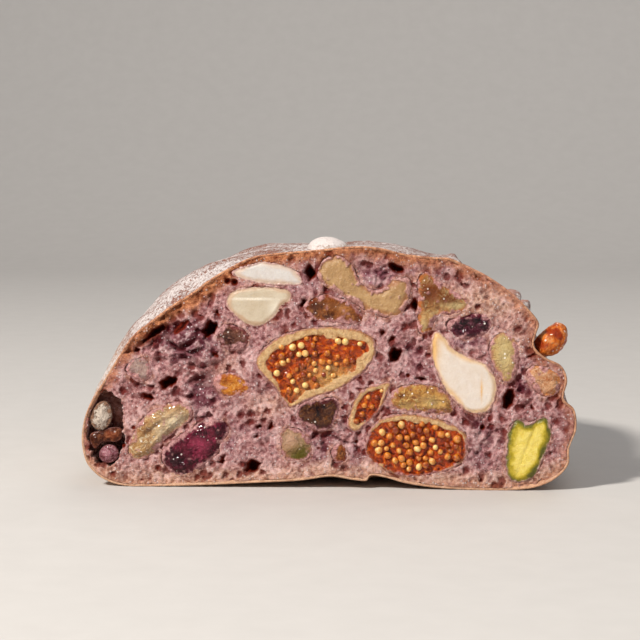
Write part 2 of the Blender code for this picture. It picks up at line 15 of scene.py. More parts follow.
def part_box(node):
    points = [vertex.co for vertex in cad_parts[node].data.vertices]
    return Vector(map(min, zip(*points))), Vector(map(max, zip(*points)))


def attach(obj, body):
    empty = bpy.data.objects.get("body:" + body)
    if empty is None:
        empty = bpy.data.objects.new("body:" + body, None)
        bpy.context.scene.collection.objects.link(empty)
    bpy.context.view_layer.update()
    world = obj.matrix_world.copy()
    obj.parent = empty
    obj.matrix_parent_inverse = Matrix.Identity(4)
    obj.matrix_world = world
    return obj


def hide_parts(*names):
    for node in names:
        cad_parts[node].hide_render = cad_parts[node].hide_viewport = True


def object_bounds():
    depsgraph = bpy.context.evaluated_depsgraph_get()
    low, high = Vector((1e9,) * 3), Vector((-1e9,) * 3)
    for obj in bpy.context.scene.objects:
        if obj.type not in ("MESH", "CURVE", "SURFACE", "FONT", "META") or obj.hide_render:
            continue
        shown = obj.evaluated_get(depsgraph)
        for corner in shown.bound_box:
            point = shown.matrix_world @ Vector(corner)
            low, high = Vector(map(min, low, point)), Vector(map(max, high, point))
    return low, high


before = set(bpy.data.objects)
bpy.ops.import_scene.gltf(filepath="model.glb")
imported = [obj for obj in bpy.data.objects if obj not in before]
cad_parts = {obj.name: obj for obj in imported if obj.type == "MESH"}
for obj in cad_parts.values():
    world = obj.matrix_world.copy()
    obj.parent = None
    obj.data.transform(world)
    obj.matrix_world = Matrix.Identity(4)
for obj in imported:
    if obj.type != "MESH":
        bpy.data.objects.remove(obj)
CAD_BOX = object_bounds()
MM = 0.001

# The loaf, as in the solids: the outline of the cut as X and Z, and how far its outside stands out from
# that behind the cut, by the angle around its middle
LOAF_DEPTH = 100.0
CUT_Y = -50.0
NOSE_X, NOSE_Z = 1.0, 13.0
SWELL_END, TAPER_START = 0.22, 0.42
BASE_TOP = 4.2
BASE_LEFT, BASE_RIGHT = -50.0, 48.0
RIM = [
    (-59.1, 11.0), (-58.4, 16.3), (-56.3, 21.3), (-53.2, 26.1), (-49.8, 31.6), (-46.4, 36.5),
    (-42.2, 39.8), (-37.6, 43.4), (-32.7, 46.4), (-27.9, 50.0), (-23.0, 52.9), (-18.0, 55.3),
    (-12.2, 56.3), (-3.0, 57.1), (6.2, 58.0), (12.2, 57.7), (18.6, 56.2), (25.1, 55.5),
    (29.0, 55.3), (32.7, 53.6), (37.2, 51.5), (42.5, 48.0), (46.5, 44.4), (49.9, 40.3),
    (49.4, 37.5), (48.9, 34.6), (51.6, 31.9), (55.3, 30.0), (56.8, 26.5), (56.0, 22.2),
    (58.5, 19.6), (59.1, 15.0), (57.5, 10.3), (57.3, 6.4), (54.2, 2.9), (49.6, 0.8),
    (43.4, 0.0), (34.4, 0.0), (26.2, 0.4), (18.9, 1.4), (13.8, 2.8), (10.4, 3.2),
    (9.4, 1.9), (5.7, 2.2), (0.7, 2.9), (-6.7, 1.8), (-18.2, 1.1), (-31.3, 0.4),
    (-43.7, 0.0), (-49.4, 0.2), (-53.5, 1.5), (-56.2, 3.4), (-58.2, 6.2),
]
SWELL = [
    (-180, 1.6), (-165, 0.6), (-120, 0.0), (-60, 0.0), (-15, 0.6), (0, 0.3), (20, -0.8), (38, -1.2),
    (60, -1.4), (80, -0.7), (95, -0.7), (110, 0.7), (122, 2.4), (138, 4.4), (152, 4.2), (165, 2.2),
    (180, 1.6),
]

# The score in the crust: where its lips start in the cut, how high and wide they are, and where it ends
SCORE_LEFT, SCORE_RIGHT = (31.0, 54.6), (47.2, 43.8)
LIP_HEIGHTS, LIP_WIDTH, SCORE_SINK = (1.2, 2.1), 2.3, 1.0
SCORE_END = 0.78

# How finely the meshes are made
CRUST_SIDES, CRUMB_SIDES, HOLLOW_SIDES = 620, 900, 190
CRUMB_STEP, LOOP_STEP, FRUIT_STEP = 0.25, 0.36, 0.3
PORES = 500

# The crust is a shell around the crumb: how thick it is in the cut and behind it, how deep the rings of the
# recess for the crumb lie, and those of the crumb's own slab
CRUST_EDGE, CRUST_INNER = 0.55, 1.2
RECESS_DEPTHS = (8.6, 6.0, 3.5, 1.2)
SLAB_DEPTHS = (1.5, 3.5, 6.0, 8.2)

# The rings behind a fruit's front: their size, and their share of its depth. Then the highest that a front
# stands out of the cut, and the room left behind a fruit in the crumb
BACK_RINGS = [(0.9, 0.6), (0.62, 1.0)]
FRONT_LIMIT, POCKET_ROOM = 0.85, 0.4

# Holes in the crumb: centre X and Z, half width, half height, tilt in degrees, depth
HOLES = [
    (-3.8, 51.5, 1.6, 1.9, 0, 5.0), (-28.0, 37.7, 1.7, 2.5, -32, 6.0), (-41.4, 37.0, 3.9, 1.15, 38, 6.5),
    (-45.6, 32.9, 1.3, 1.2, 20, 4.0), (-38.1, 25.2, 2.6, 1.8, 25, 4.5), (16.2, 32.2, 1.8, 2.1, 20, 5.5),
    (22.5, 26.5, 2.2, 0.8, -5, 4.5), (-16.5, 14.7, 1.0, 0.9, 0, 4.0), (-16.7, 12.3, 0.9, 0.8, 0, 4.0),
    (16.2, 53.0, 2.4, 1.2, -42, 4.0), (20.7, 44.2, 1.1, 2.6, 12, 4.0), (-26.2, 41.9, 1.1, 1.5, 15, 3.5),
    (-26.8, 32.2, 1.1, 1.1, 0, 3.0), (43.0, 21.6, 2.0, 2.9, -20, 4.5), (-18.0, 5.0, 2.3, 2.0, 20, 4.0),
    (-42.9, 21.7, 1.7, 1.1, -20, 3.0), (-13.4, 14.6, 1.6, 1.3, 35, 3.0), (13.1, 37.5, 0.8, 0.8, 0, 3.0),
    (15.4, 35.9, 1.2, 0.8, 20, 3.0), (-5.8, 44.4, 1.1, 1.5, -30, 4.0), (-25.0, 6.6, 1.2, 1.9, -20, 3.5),
    (48.6, 19.8, 0.6, 1.7, 15, 3.0), (29.3, 54.1, 2.9, 0.45, -8, 3.5), (-2.0, 9.8, 0.6, 0.5, 0, 2.0),
    (6.6, 10.3, 0.7, 0.6, 0, 2.0), (-40.8, 4.5, 0.7, 1.0, 0, 2.4), (-44.6, 1.7, 0.8, 0.5, 0, 1.8),
    (47.2, 11.0, 0.8, 0.9, 0, 2.0), (48.3, 32.2, 1.9, 0.6, 25, 3.0), (-34.6, 38.6, 3.4, 1.0, 38, 1.6),
]

# The mouth of the hollow at the left edge, and its depth
HOLLOW = [
    (-56.2, 20.1), (-53.5, 22.3), (-50.9, 22.3), (-49.4, 20.8), (-49.0, 18.2), (-49.2, 15.3),
    (-48.9, 11.4), (-49.9, 7.2), (-51.8, 5.0), (-54.5, 5.4), (-56.5, 8.2), (-57.6, 12.0), (-57.4, 16.3),
]
HOLLOW_DEPTH = 6.5

# Softly edged zones of the crumb: centre X and Z, half width, half height, strength
TORN_ZONES = [
    (-36.0, 35.0, 10.0, 6.0, 1.0), (-31.0, 25.0, 5.0, 7.5, 0.9), (-44.0, 24.0, 6.0, 4.0, 0.6),
    (2.0, 12.0, 7.0, 4.0, 0.7), (11.0, 52.0, 5.0, 3.0, 0.7), (37.0, 14.0, 5.0, 6.0, 0.6),
    (20.0, 34.0, 5.0, 5.0, 0.4), (-20.0, 31.0, 4.0, 3.0, 0.5), (46.0, 22.0, 4.0, 4.0, 0.6),
]
PURPLE_ZONES = [
    (-33.0, 35.0, 11.0, 6.0, 0.8), (-29.0, 22.0, 4.0, 6.0, 1.0), (-21.0, 15.0, 8.0, 6.0, 0.35),
    (2.0, 9.0, 8.0, 4.0, 0.6), (-4.0, 13.0, 7.0, 5.0, 0.6), (11.0, 50.5, 4.5, 2.6, 1.0),
    (-6.0, 49.0, 6.0, 2.0, 0.6), (20.0, 28.0, 5.0, 6.0, 0.5), (46.0, 27.0, 2.5, 6.0, 0.6),
    (33.0, 36.0, 6.0, 3.0, 0.8), (36.0, 12.0, 5.0, 6.0, 0.5), (21.5, 46.0, 2.0, 5.0, 0.5),
    (-24.0, 11.0, 3.0, 4.0, 0.5),
]
PALE_ZONES = [
    (-38.0, 3.0, 14.0, 3.0, 0.8), (-14.0, 20.0, 5.0, 3.0, 0.7), (38.0, 45.0, 12.0, 5.0, 1.0),
    (-8.0, 3.5, 16.0, 2.5, 0.7), (30.0, 2.5, 14.0, 2.2, 0.5), (-24.0, 28.0, 4.0, 4.0, 0.5),
    (45.0, 38.0, 4.0, 5.0, 0.6), (-44.0, 12.0, 6.0, 7.0, 0.35),
]

# The toasted band inside the crust: angle around the loaf's middle, strength, width in millimetres
TOAST = [
    (-180, 0.35, 1.4), (-140, 0.3, 1.3), (-90, 0.28, 1.2), (-40, 0.28, 1.4), (0, 0.5, 2.0), (25, 0.55, 2.0),
    (48, 0.65, 2.6), (62, 0.9, 2.8), (90, 0.95, 3.2), (110, 1.0, 3.4), (135, 1.0, 3.8), (150, 1.0, 3.2),
    (165, 0.7, 2.2), (180, 0.35, 1.4),
]

# The camera's place in millimetres, how far it looks down and to the left in degrees, and its lens
EYE = (25.0, -499.3, 83.0)
PITCH, YAW = 5.4, 3.4
FOCAL_PIXELS, PICTURE_PIXELS, SENSOR = 1908.0, 640.0, 36.0

# The lights: name, azimuth and elevation in degrees, distance and size in metres, power, colour
LIGHTS = [
    ("key", -40, 42, 1.1, 0.12, 15.0, (1.0, 0.97, 0.92)),
    ("fill", 55, 30, 1.4, 1.0, 1.6, (0.92, 0.96, 1.0)),
    ("top", 150, 62, 1.2, 0.9, 4.0, (1.0, 0.98, 0.95)),
]


def linear(*colour):
    """A screen colour, 0 to 255, as Blender's linear colour with alpha."""
    values = [c / 255 for c in colour]
    return (*[v / 12.92 if v <= 0.04045 else ((v + 0.055) / 1.055) ** 2.4 for v in values], 1.0)


def smooth_step(value):
    """0 below 0, 1 above 1 and a smooth rise between."""
    v = np.clip(value, 0, 1)
    return v * v * (3 - 2 * v)


def noise(points, size, seed):
    """Smooth noise from -1 to 1 at each point, in two or three dimensions, with lumps about size across."""
    cell = np.asarray(points, float) / size + 500
    base = np.floor(cell).astype(np.int64)
    part = smooth_step(cell - base)
    total = np.zeros(len(cell))
    for corner in np.ndindex(*(2,) * cell.shape[1]):
        mixed = np.full(len(cell), seed * 7919 + 17, np.int64)
        weight = np.ones(len(cell))
        for axis, step in enumerate(corner):
            mixed = mixed * 668265263 + (base[:, axis] + step) * 374761393
            mixed ^= mixed >> 15
            weight *= part[:, axis] if step else 1 - part[:, axis]
        mixed = (mixed ^ (mixed >> 13)) * 1274126177
        mixed ^= mixed >> 16
        total += weight * ((mixed & 0xFFFF) / 32767.5 - 1)
    return total


def bubbles(points, size, seed):
    """Round pits side by side, about size apart: 1 in a pit's middle, 0 at its rim. Also a value for each."""
    cell = points / size + 500
    base = np.floor(cell).astype(np.int64)
    nearest, value = np.full(len(points), 9.0), np.zeros(len(points))
    for step in np.ndindex(3, 3):
        corner = base + np.array(step) - 1
        draws = []
        for number in range(3):
            mixed = corner[:, 0] * 374761393 + corner[:, 1] * 668265263 + (seed * 3 + number) * 1274126177
            mixed = (mixed ^ (mixed >> 13)) * 1103515245
            draws.append(((mixed ^ (mixed >> 16)) & 0xFFFF) / 65535)
        gap = np.hypot(cell[:, 0] - corner[:, 0] - draws[0], cell[:, 1] - corner[:, 1] - draws[1])
        value = np.where(gap < nearest, draws[2], value)
        nearest = np.minimum(nearest, gap)
    return np.clip(1 - nearest**2 / 0.45, 0, 1), value


def zones(points, table):
    """The strength of soft oval zones at each point, 0 to 1."""
    strongest = np.zeros(len(points))
    for x, z, wide, high, strength in table:
        away = ((points[:, 0] - x) / wide) ** 2 + ((points[:, 1] - z) / high) ** 2
        strongest = np.maximum(strongest, strength * np.exp(-away))
    return strongest


def closed_spline(points, count):
    """count points evenly spaced along the smooth closed curve through points, from the first one on."""
    p = np.array(points, float)
    fine = []
    steps = np.linspace(0, 1, 24, endpoint=False)[:, None]
    for i in range(len(p)):
        a, b, c, d = p[i - 1], p[i], p[(i + 1) % len(p)], p[(i + 2) % len(p)]
        bend = 2 * a - 5 * b + 4 * c - d + steps * (3 * (b - c) + d - a)
        fine.append(b + 0.5 * steps * (c - a + steps * bend))
    fine = np.concatenate(fine)
    loop = np.vstack([fine, fine[:1]])
    length = np.concatenate([[0], np.cumsum(np.linalg.norm(np.diff(loop, axis=0), axis=1))])
    at = np.linspace(0, length[-1], count, endpoint=False)
    return np.column_stack([np.interp(at, length, loop[:, k]) for k in (0, 1)])


def loop_length(loop):
    """The length around a closed loop."""
    return np.linalg.norm(np.roll(loop, -1, axis=0) - loop, axis=1).sum()


def outward_normals(loop):
    """Unit normals in the plane of a closed loop, pointing out of it."""
    along = np.roll(loop, -1, axis=0) - np.roll(loop, 1, axis=0)
    normals = np.column_stack([-along[:, 1], along[:, 0]])
    normals /= np.linalg.norm(normals, axis=1)[:, None]
    x, z = loop[:, 0], loop[:, 1]
    clockwise = np.sum(x * np.roll(z, -1) - z * np.roll(x, -1)) < 0
    return normals if clockwise else -normals


def moved_in(loop, amount):
    """The loop moved in by amount in small steps, each one evened out a little so that no tip folds."""
    moved = loop.copy()
    steps = max(1, round(abs(amount) / 0.1))
    for _ in range(steps):
        moved = moved - outward_normals(moved) * amount / steps
        moved = 0.8 * moved + 0.1 * (np.roll(moved, 1, axis=0) + np.roll(moved, -1, axis=0))
    return moved


def inside_by(points, loop):
    """How far each point lies inside a closed loop: negative outside it. Far points all get -9."""
    result = np.full(len(points), -9.0)
    near = np.all((points > loop.min(axis=0) - 3) & (points < loop.max(axis=0) + 3), axis=1)
    a, b = loop, np.roll(loop, -1, axis=0)
    along = b - a
    flat = np.where(np.abs(along[:, 1]) < 1e-9, 1e-9, along[:, 1])
    chosen = np.flatnonzero(near)
    for start in range(0, len(chosen), 4000):
        part = chosen[start:start + 4000]
        p = points[part][:, None, :]
        share = np.clip(((p - a) * along).sum(-1) / (along**2).sum(-1), 0, 1)
        gap = np.linalg.norm(p - a - share[..., None] * along, axis=-1).min(-1)
        crosses = (a[:, 1] > p[..., 1]) != (b[:, 1] > p[..., 1])
        at = a[:, 0] + (p[..., 1] - a[:, 1]) * along[:, 0] / flat
        inside = (crosses & (p[..., 0] < at)).sum(-1) % 2 == 1
        result[part] = np.where(inside, gap, -gap)
    return result


def node_ring(node, depth, convex=False):
    """The corners of a solid's ring that lies at this depth behind the cut, in order around it."""
    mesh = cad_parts[node].data
    corners = {}
    same = [corners.setdefault(tuple(round(c / MM, 2) for c in v.co), v.index) for v in mesh.vertices]
    places = {index: np.array(place) for place, index in corners.items()}
    if convex:
        level = [place[[0, 2]] for place in places.values() if abs(place[1] - CUT_Y - depth) < 0.05]
        return np.array(level)[geometry.convex_hull_2d([Vector(place) for place in level])]
    beside = {}
    for edge in mesh.edges:
        a, b = (same[v] for v in edge.vertices)
        if a != b and max(abs(places[v][1] - CUT_Y - depth) for v in (a, b)) < 0.05:
            beside.setdefault(a, set()).add(b)
            beside.setdefault(b, set()).add(a)
    rings = []
    while beside:
        ring = [min(beside)]
        while True:
            onward = [v for v in sorted(beside.get(ring[-1], ())) if v not in ring]
            if not onward:
                break
            ring.append(onward[0])
        for v in ring:
            beside.pop(v, None)
        rings.append(np.array([places[v][[0, 2]] for v in ring]))
    return max(rings, key=lambda ring: np.ptp(ring, axis=0).sum())


def new_piece(name, places, faces, material, node, masks):
    """A piece made from points in millimetres and faces, which rides on the loaf and stands for a node.

    A mask with fewer values than there are points is 0 at the rest.
    """
    mesh = bpy.data.meshes.new(name)
    mesh.from_pydata(np.clip(np.asarray(places, float) * MM, *CAD_BOX).tolist(), [], faces)
    mesh.update()
    for mask, values in masks.items():
        whole = np.zeros(len(places), np.float32)
        whole[:len(values)] = values
        mesh.attributes.new(mask, "FLOAT", "POINT").data.foreach_set("value", whole)
    shape = bmesh.new()
    shape.from_mesh(mesh)
    bmesh.ops.recalc_face_normals(shape, faces=shape.faces)
    shape.to_mesh(mesh)
    shape.free()
    mesh.shade_smooth()
    mesh.materials.append(material)
    piece = bpy.data.objects.new(name, mesh)
    bpy.context.scene.collection.objects.link(piece)
    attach(piece, "root")
    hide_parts(node)


def roughened(loop, wide, narrow, seed):
    """The loop moved in and out along its normals, by broad waves and by small ones."""
    waves = wide * noise(loop, 2.2, seed) + narrow * noise(loop, 0.7, seed + 1)
    return loop + outward_normals(loop) * waves[:, None]


def scattered(loop, spacing, seed):
    """Points spread over the inside of a loop, an uneven grid about spacing apart."""
    draw = np.random.default_rng(seed)
    low, high = loop.min(axis=0), loop.max(axis=0)
    xs, zs = np.meshgrid(np.arange(low[0], high[0], spacing), np.arange(low[1], high[1], spacing))
    points = np.column_stack([xs.ravel(), zs.ravel()])
    points += draw.uniform(-0.32, 0.32, points.shape) * spacing
    return points[inside_by(points, loop) > spacing * 0.5]


def triangulated(boundary, inner_loops, points):
    """Triangles over the inside of a boundary, with edges along the inner loops. Returns points and faces."""
    loops = [boundary, *inner_loops]
    every = np.vstack([*loops, points])
    edges = []
    start = 0
    for loop in loops:
        count = len(loop)
        edges += [(start + i, start + (i + 1) % count) for i in range(count)]
        start += count
    vertices = [Vector(p) for p in every.tolist()]
    places, _, faces, sources, _, _ = geometry.delaunay_2d_cdt(vertices, edges, [], 1, 1e-5)
    places = np.array([tuple(p) for p in places])
    faces = np.array([f for f in faces if len(f) == 3])
    out = {source: i for i, found in enumerate(sources) for source in found}
    around = [out[i] for i in range(len(boundary))]
    return places, faces, around


def ring_numbers(count, rings, start=0):
    """The numbers of the points in each of some rings of count points, from start on."""
    return [range(start + k * count, start + (k + 1) * count) for k in range(rings)]


def strips(rings):
    """Faces with four corners between each ring of points and the next."""
    faces = []
    for near, far in zip(rings, rings[1:]):
        count = len(near)
        faces += [(near[i], near[(i + 1) % count], far[(i + 1) % count], far[i]) for i in range(count)]
    return faces


def fan(ring, tip):
    """Triangles between a ring of points and a tip."""
    return [(ring[i], ring[(i + 1) % len(ring)], tip) for i in range(len(ring))]


def closed_slab(front, faces, around, back_rings):
    """A closed piece: a front surface of X, Y, Z points, and rings behind its boundary, the last capped."""
    rings = [around, *ring_numbers(len(around), len(back_rings), len(front))]
    places = np.vstack([front, *back_rings, back_rings[-1].mean(axis=0)])
    return places, faces.tolist() + strips(rings) + fan(rings[-1], len(places) - 1)


def grid_normals(grid):
    """The normals of a closed body given as rings of points, pointing out of it."""
    around = np.roll(grid, -1, axis=1) - np.roll(grid, 1, axis=1)
    normals = np.cross(around, np.gradient(grid, axis=0))
    normals /= np.linalg.norm(normals, axis=2)[..., None]
    outward = (normals * (grid - grid.mean(axis=(0, 1)))).sum() > 0
    return normals if outward else -normals


def ring_at(loop, depth):
    """A plane loop as X, Y, Z points at a depth behind the cut."""
    return np.column_stack([loop[:, 0], np.full(len(loop), CUT_Y) + depth, loop[:, 1]])


# Materials


class Paint:
    """A node tree, with short names for the nodes that colours, masks and relief are made of."""

    def __init__(self, tree):
        self.tree = tree

    def join(self, value, socket):
        """Sets a socket to a number or colour, or links it from another socket."""
        if isinstance(value, bpy.types.NodeSocket):
            self.tree.links.new(value, socket)
        else:
            socket.default_value = value

    def node(self, kind, inputs=None, **settings):
        """A shader node with its settings and its sockets set or joined."""
        node = self.tree.nodes.new("ShaderNode" + kind)
        for key, value in settings.items():
            setattr(node, key, value)
        for key, value in (inputs or {}).items():
            self.join(value, node.inputs[key])
        return node

    def mix(self, share, first, second):
        """A mix of two colours by a share from 0 to 1. A tuple is a screen colour, 0 to 255."""
        first, second = (linear(*c) if isinstance(c, tuple) else c for c in (first, second))
        return self.node("Mix", {0: share, 6: first, 7: second}, data_type="RGBA").outputs[2]

    def layers(self, colour, *above):
        """A colour with others laid over it in turn, each by its share."""
        for share, over in above:
            colour = self.mix(share, colour, over)
        return colour

    def between(self, value, low, high, to_low=0.0, to_high=1.0):
        """The value's place between low and high, smoothly from to_low to to_high."""
        inputs = {"Value": value, "From Min": low, "From Max": high, "To Min": to_low, "To Max": to_high}
        return self.node("MapRange", inputs, interpolation_type="SMOOTHSTEP").outputs[0]

    def maths(self, operation, first, second):
        """One step of arithmetic."""
        return self.node("Math", {0: first, 1: second}, operation=operation).outputs[0]

    def times(self, first, second):
        return self.maths("MULTIPLY", first, second)

    def plus(self, first, second):
        return self.maths("ADD", first, second)

    def minus(self, first, second):
        return self.maths("SUBTRACT", first, second)

    def most(self, first, second):
        return self.maths("MAXIMUM", first, second)

    def mask(self, name):
        """A mask that the mesh carries at its points."""
        return self.node("Attribute", attribute_name=name).outputs["Fac"]

    def place(self):
        """The place on the object."""
        return self.node("TexCoord").outputs["Object"]

    def noise(self, size, detail=3.0, roughness=0.55, distortion=0.0):
        """Noise over the surface with lumps about size millimetres across."""
        inputs = {"Vector": self.place(), "Scale": 1 / (size * MM), "Detail": detail, "Roughness": roughness,
                  "Distortion": distortion}
        return self.node("TexNoise", inputs).outputs[0]

    def uneven_edge(self, clouds, reach=0.5):
        """The distance from the piece's edge in millimetres, made uneven by clouds."""
        return self.plus(self.mask("edge"), self.between(clouds, 0.3, 0.7, -reach, reach))

    def use(self, group, **inputs):
        """A shared group placed with its own values. Returns its one output."""
        node = self.node("Group", node_tree=group)
        for title, value in inputs.items():
            self.join(value, node.inputs[title.capitalize()])
        return node.outputs[0]

    def onto(self, shader, relief_height, relief_depth, **sockets):
        """Links values to the shader's sockets, and a relief whose range is relief_depth millimetres."""
        for title, value in sockets.items():
            self.tree.links.new(value, shader.inputs[title.replace("_", " ").title()])
        bump = self.node("Bump", {"Height": relief_height, "Distance": relief_depth * MM, "Strength": 1.0})
        self.tree.links.new(bump.outputs[0], shader.inputs["Normal"])


def finish(name, **values):
    """A new material, its paint and its Principled shader, with values set on the shader's own sockets."""
    made = bpy.data.materials.new(name)
    made.use_nodes = True
    shader = made.node_tree.nodes["Principled BSDF"]
    for title, value in values.items():
        shader.inputs[title.replace("_", " ").title().replace("Ior", "IOR")].default_value = value
    return made, Paint(made.node_tree), shader


def socket_type(title):
    """The type of a group's socket: a colour for the one named Colour, and a number for the others."""
    return "NodeSocketColor" if title == "Colour" else "NodeSocketFloat"


def new_group(name, inputs, output):
    """An empty shader node group with named inputs and one output."""
    group = bpy.data.node_groups.new(name, "ShaderNodeTree")
    for title, value in inputs.items():
        socket = group.interface.new_socket(title, in_out="INPUT", socket_type=socket_type(title))
        socket.default_value = value
    group.interface.new_socket(output, in_out="OUTPUT", socket_type=socket_type(output))
    given = group.nodes.new("NodeGroupInput").outputs
    return Paint(group), given, group.nodes.new("NodeGroupOutput").inputs[output]


def grain_group():
    """Fine uneven grain: a value around one half, from coarse and fine noise together."""
    paint, given, result = new_group("grain", {"Size": 1.0, "Contrast": 1.0}, "Value")
    place, scale = paint.place(), paint.maths("DIVIDE", 1 / MM, given["Size"])
    coarse = paint.node("TexNoise", {"Vector": place, "Scale": scale, "Detail": 4.0}).outputs[0]
    fine_scale = paint.times(scale, 3.7)
    fine = paint.node("TexNoise", {"Vector": place, "Scale": fine_scale, "Detail": 2.0}).outputs[0]
    both = paint.plus(paint.times(coarse, 0.62), paint.times(fine, 0.38))
    paint.join(paint.plus(paint.times(paint.minus(both, 0.5), given["Contrast"]), 0.5), result)
    return paint.tree


def specks_group():
    """Small separate dots, such as sugar crystals, flour grains and glints."""
    paint, given, result = new_group("specks", {"Size": 1.0, "Share": 0.3, "Dot": 0.3}, "Mask")
    scale = paint.maths("DIVIDE", 1 / MM, given["Size"])
    cells = paint.node("TexVoronoi", {"Vector": paint.place(), "Scale": scale})
    apart = paint.node("SeparateColor", {0: cells.outputs["Color"]})
    chosen = paint.maths("LESS_THAN", apart.outputs[0], given["Share"])
    reach = paint.times(given["Dot"], paint.plus(apart.outputs[1], 0.5))
    round_dot = paint.minus(1.0, paint.maths("DIVIDE", cells.outputs["Distance"], reach))
    clear = paint.node("MapRange", {"Value": round_dot, "From Min": 0.0, "From Max": 0.35})
    paint.join(paint.times(clear.outputs[0], chosen), result)
    return paint.tree


def flour_group():
    """Dusted flour: clumps and streaks with bare patches between, stronger with Amount."""
    paint, given, result = new_group("flour_dust", {"Amount": 0.5, "Clump": 2.0}, "Mask")
    place = paint.node("Mapping", {"Vector": paint.place(), "Scale": (1.0, 0.45, 1.0)}).outputs[0]
    scale = paint.maths("DIVIDE", 1 / MM, given["Clump"])
    clump = {"Vector": place, "Scale": scale, "Detail": 5.0, "Roughness": 0.72, "Distortion": 0.3}
    grain = {"Vector": place, "Scale": paint.times(scale, 4.5), "Detail": 2.0}
    clumps, grains = (paint.node("TexNoise", inputs).outputs[0] for inputs in (clump, grain))
    both = paint.plus(paint.times(clumps, 0.6), paint.times(grains, 0.4))
    above = paint.minus(both, paint.minus(0.78, paint.times(given["Amount"], 0.56)))
    soft = paint.node("MapRange", {"Value": above, "From Min": -0.025, "From Max": 0.04})
    paint.join(soft.outputs[0], result)
    return paint.tree


GRAIN, SPECKS, FLOUR = grain_group(), specks_group(), flour_group()
CRUMB_GRAIN = {"size": 0.8, "contrast": 2.6}


def crumb_colour(paint, grain):
    """The crumb's plain pink, from deep to light with the grain."""
    return paint.mix(grain, (104, 38, 44), (226, 174, 170))


def stuck_crumb_group():
    """A colour with crumb stuck over it, where Stuck says."""
    paint, given, result = new_group("stuck_crumb", {"Colour": (1.0, 1.0, 1.0, 1.0), "Stuck": 0.0}, "Colour")
    crumb = crumb_colour(paint, paint.use(GRAIN, **CRUMB_GRAIN))
    paint.join(paint.mix(given["Stuck"], given["Colour"], crumb), result)
    return paint.tree


STUCK_CRUMB = stuck_crumb_group()


def crumb_finish():
    """The cut crumb: granular pink with purple wet patches, toasted next to the crust, painted shade in its
    holes, pores, cavities and low folds, painted highlights on its ridges and painted glints in the wet
    patches.
    """
    made, paint, shader = finish(
        "stollen_crumb", subsurface_weight=0.2, subsurface_scale=0.0009, subsurface_radius=(1.0, 0.6, 0.55),
        specular_ior_level=0.05, coat_roughness=0.1)
    grain = paint.use(GRAIN, **CRUMB_GRAIN)
    low, cavity_shade, pit_shade = paint.mask("low"), paint.mask("cavity_shade"), paint.mask("pit_shade")
    purple = paint.plus(paint.mask("purple"), paint.between(paint.noise(5.0, 4.0, 0.65), 0.3, 0.7, -0.3, 0.4))
    patch = paint.noise(3.4, 3.0, 0.6, distortion=0.5)
    specks = paint.use(SPECKS, size=0.6, share=0.28, dot=0.36)
    pits = paint.use(SPECKS, size=1.3, share=0.2, dot=0.24)
    toasted = paint.mix(paint.use(GRAIN, size=1.2, contrast=3.0), (96, 26, 6), (218, 146, 102))
    wet = paint.most(paint.between(purple, 0.3, 1.0), paint.between(low, 0.2, 0.8))
    # painted glints: white dots laid into the colour of the wet patches
    painted_glints = paint.times(paint.use(SPECKS, size=0.9, share=0.16, dot=0.24), wet)
    # Painted shade: the dark red that the cavities get
    hollow = paint.mix(paint.between(purple, 0.0, 0.8), (104, 24, 16), (74, 12, 26))
    colour = paint.layers(
        crumb_colour(paint, grain),
        (paint.between(purple, 0.1, 1.0, 0.0, 0.9), paint.mix(grain, (68, 18, 32), (166, 108, 120))),
        (paint.times(paint.mask("pale"), 0.85), paint.mix(grain, (176, 118, 92), (240, 204, 178))),
        (paint.times(paint.mask("halo"), 0.5), paint.mix(grain, (136, 74, 50), (220, 168, 138))),
        (paint.between(patch, 0.5, 0.66, 0.0, 0.45), (238, 200, 196)),
        (paint.between(patch, 0.34, 0.48, 0.5, 0.0), (88, 24, 28)),
        # painted shade in the cavities
        (paint.between(cavity_shade, 0.08, 0.65, 0.0, 0.85), hollow),
        # painted highlight on the ridges between the pits
        (paint.times(paint.mask("ridge_highlight"), 0.55), (240, 206, 204)),
        # painted shade in the low folds of the torn zones
        (paint.between(low, 0.15, 0.8, 0.0, 0.92), (74, 12, 18)),
        # toasted colour, with painted shade in its cavities
        (paint.mask("toast"), paint.mix(paint.between(cavity_shade, 0.1, 0.7, 0.0, 0.6), toasted, (96, 24, 4))),
        # pale specks raised in the bump: light grains of crumb and partly a painted highlight, fewer under
        # the cavities' painted shade
        (paint.times(specks, paint.between(cavity_shade, 0.1, 0.6, 0.42, 0.08)), (246, 230, 228)),
        # painted shade in the small dents of the bump
        (paint.times(pits, 0.4), (88, 34, 38)),
        # painted shade in the holes and pores
        (paint.between(pit_shade, 0.05, 0.45), (104, 28, 14)),
        (paint.between(pit_shade, 0.4, 1.0), (40, 6, 3)),
        (paint.times(painted_glints, 0.8), (252, 236, 240)),
    )
    glints = paint.use(SPECKS, size=1.0, share=0.3, dot=0.25)
    glints = paint.times(glints, paint.between(wet, 0.0, 1.0, 0.3, 1.0))
    raised = paint.plus(paint.times(grain, 0.6), paint.times(specks, 0.4))
    height = paint.minus(raised, paint.times(pits, 0.8))
    paint.onto(shader, height, 0.5, base_color=colour, roughness=paint.between(wet, 0.0, 1.0, 0.62, 0.34),
               coat_weight=glints)
    return made


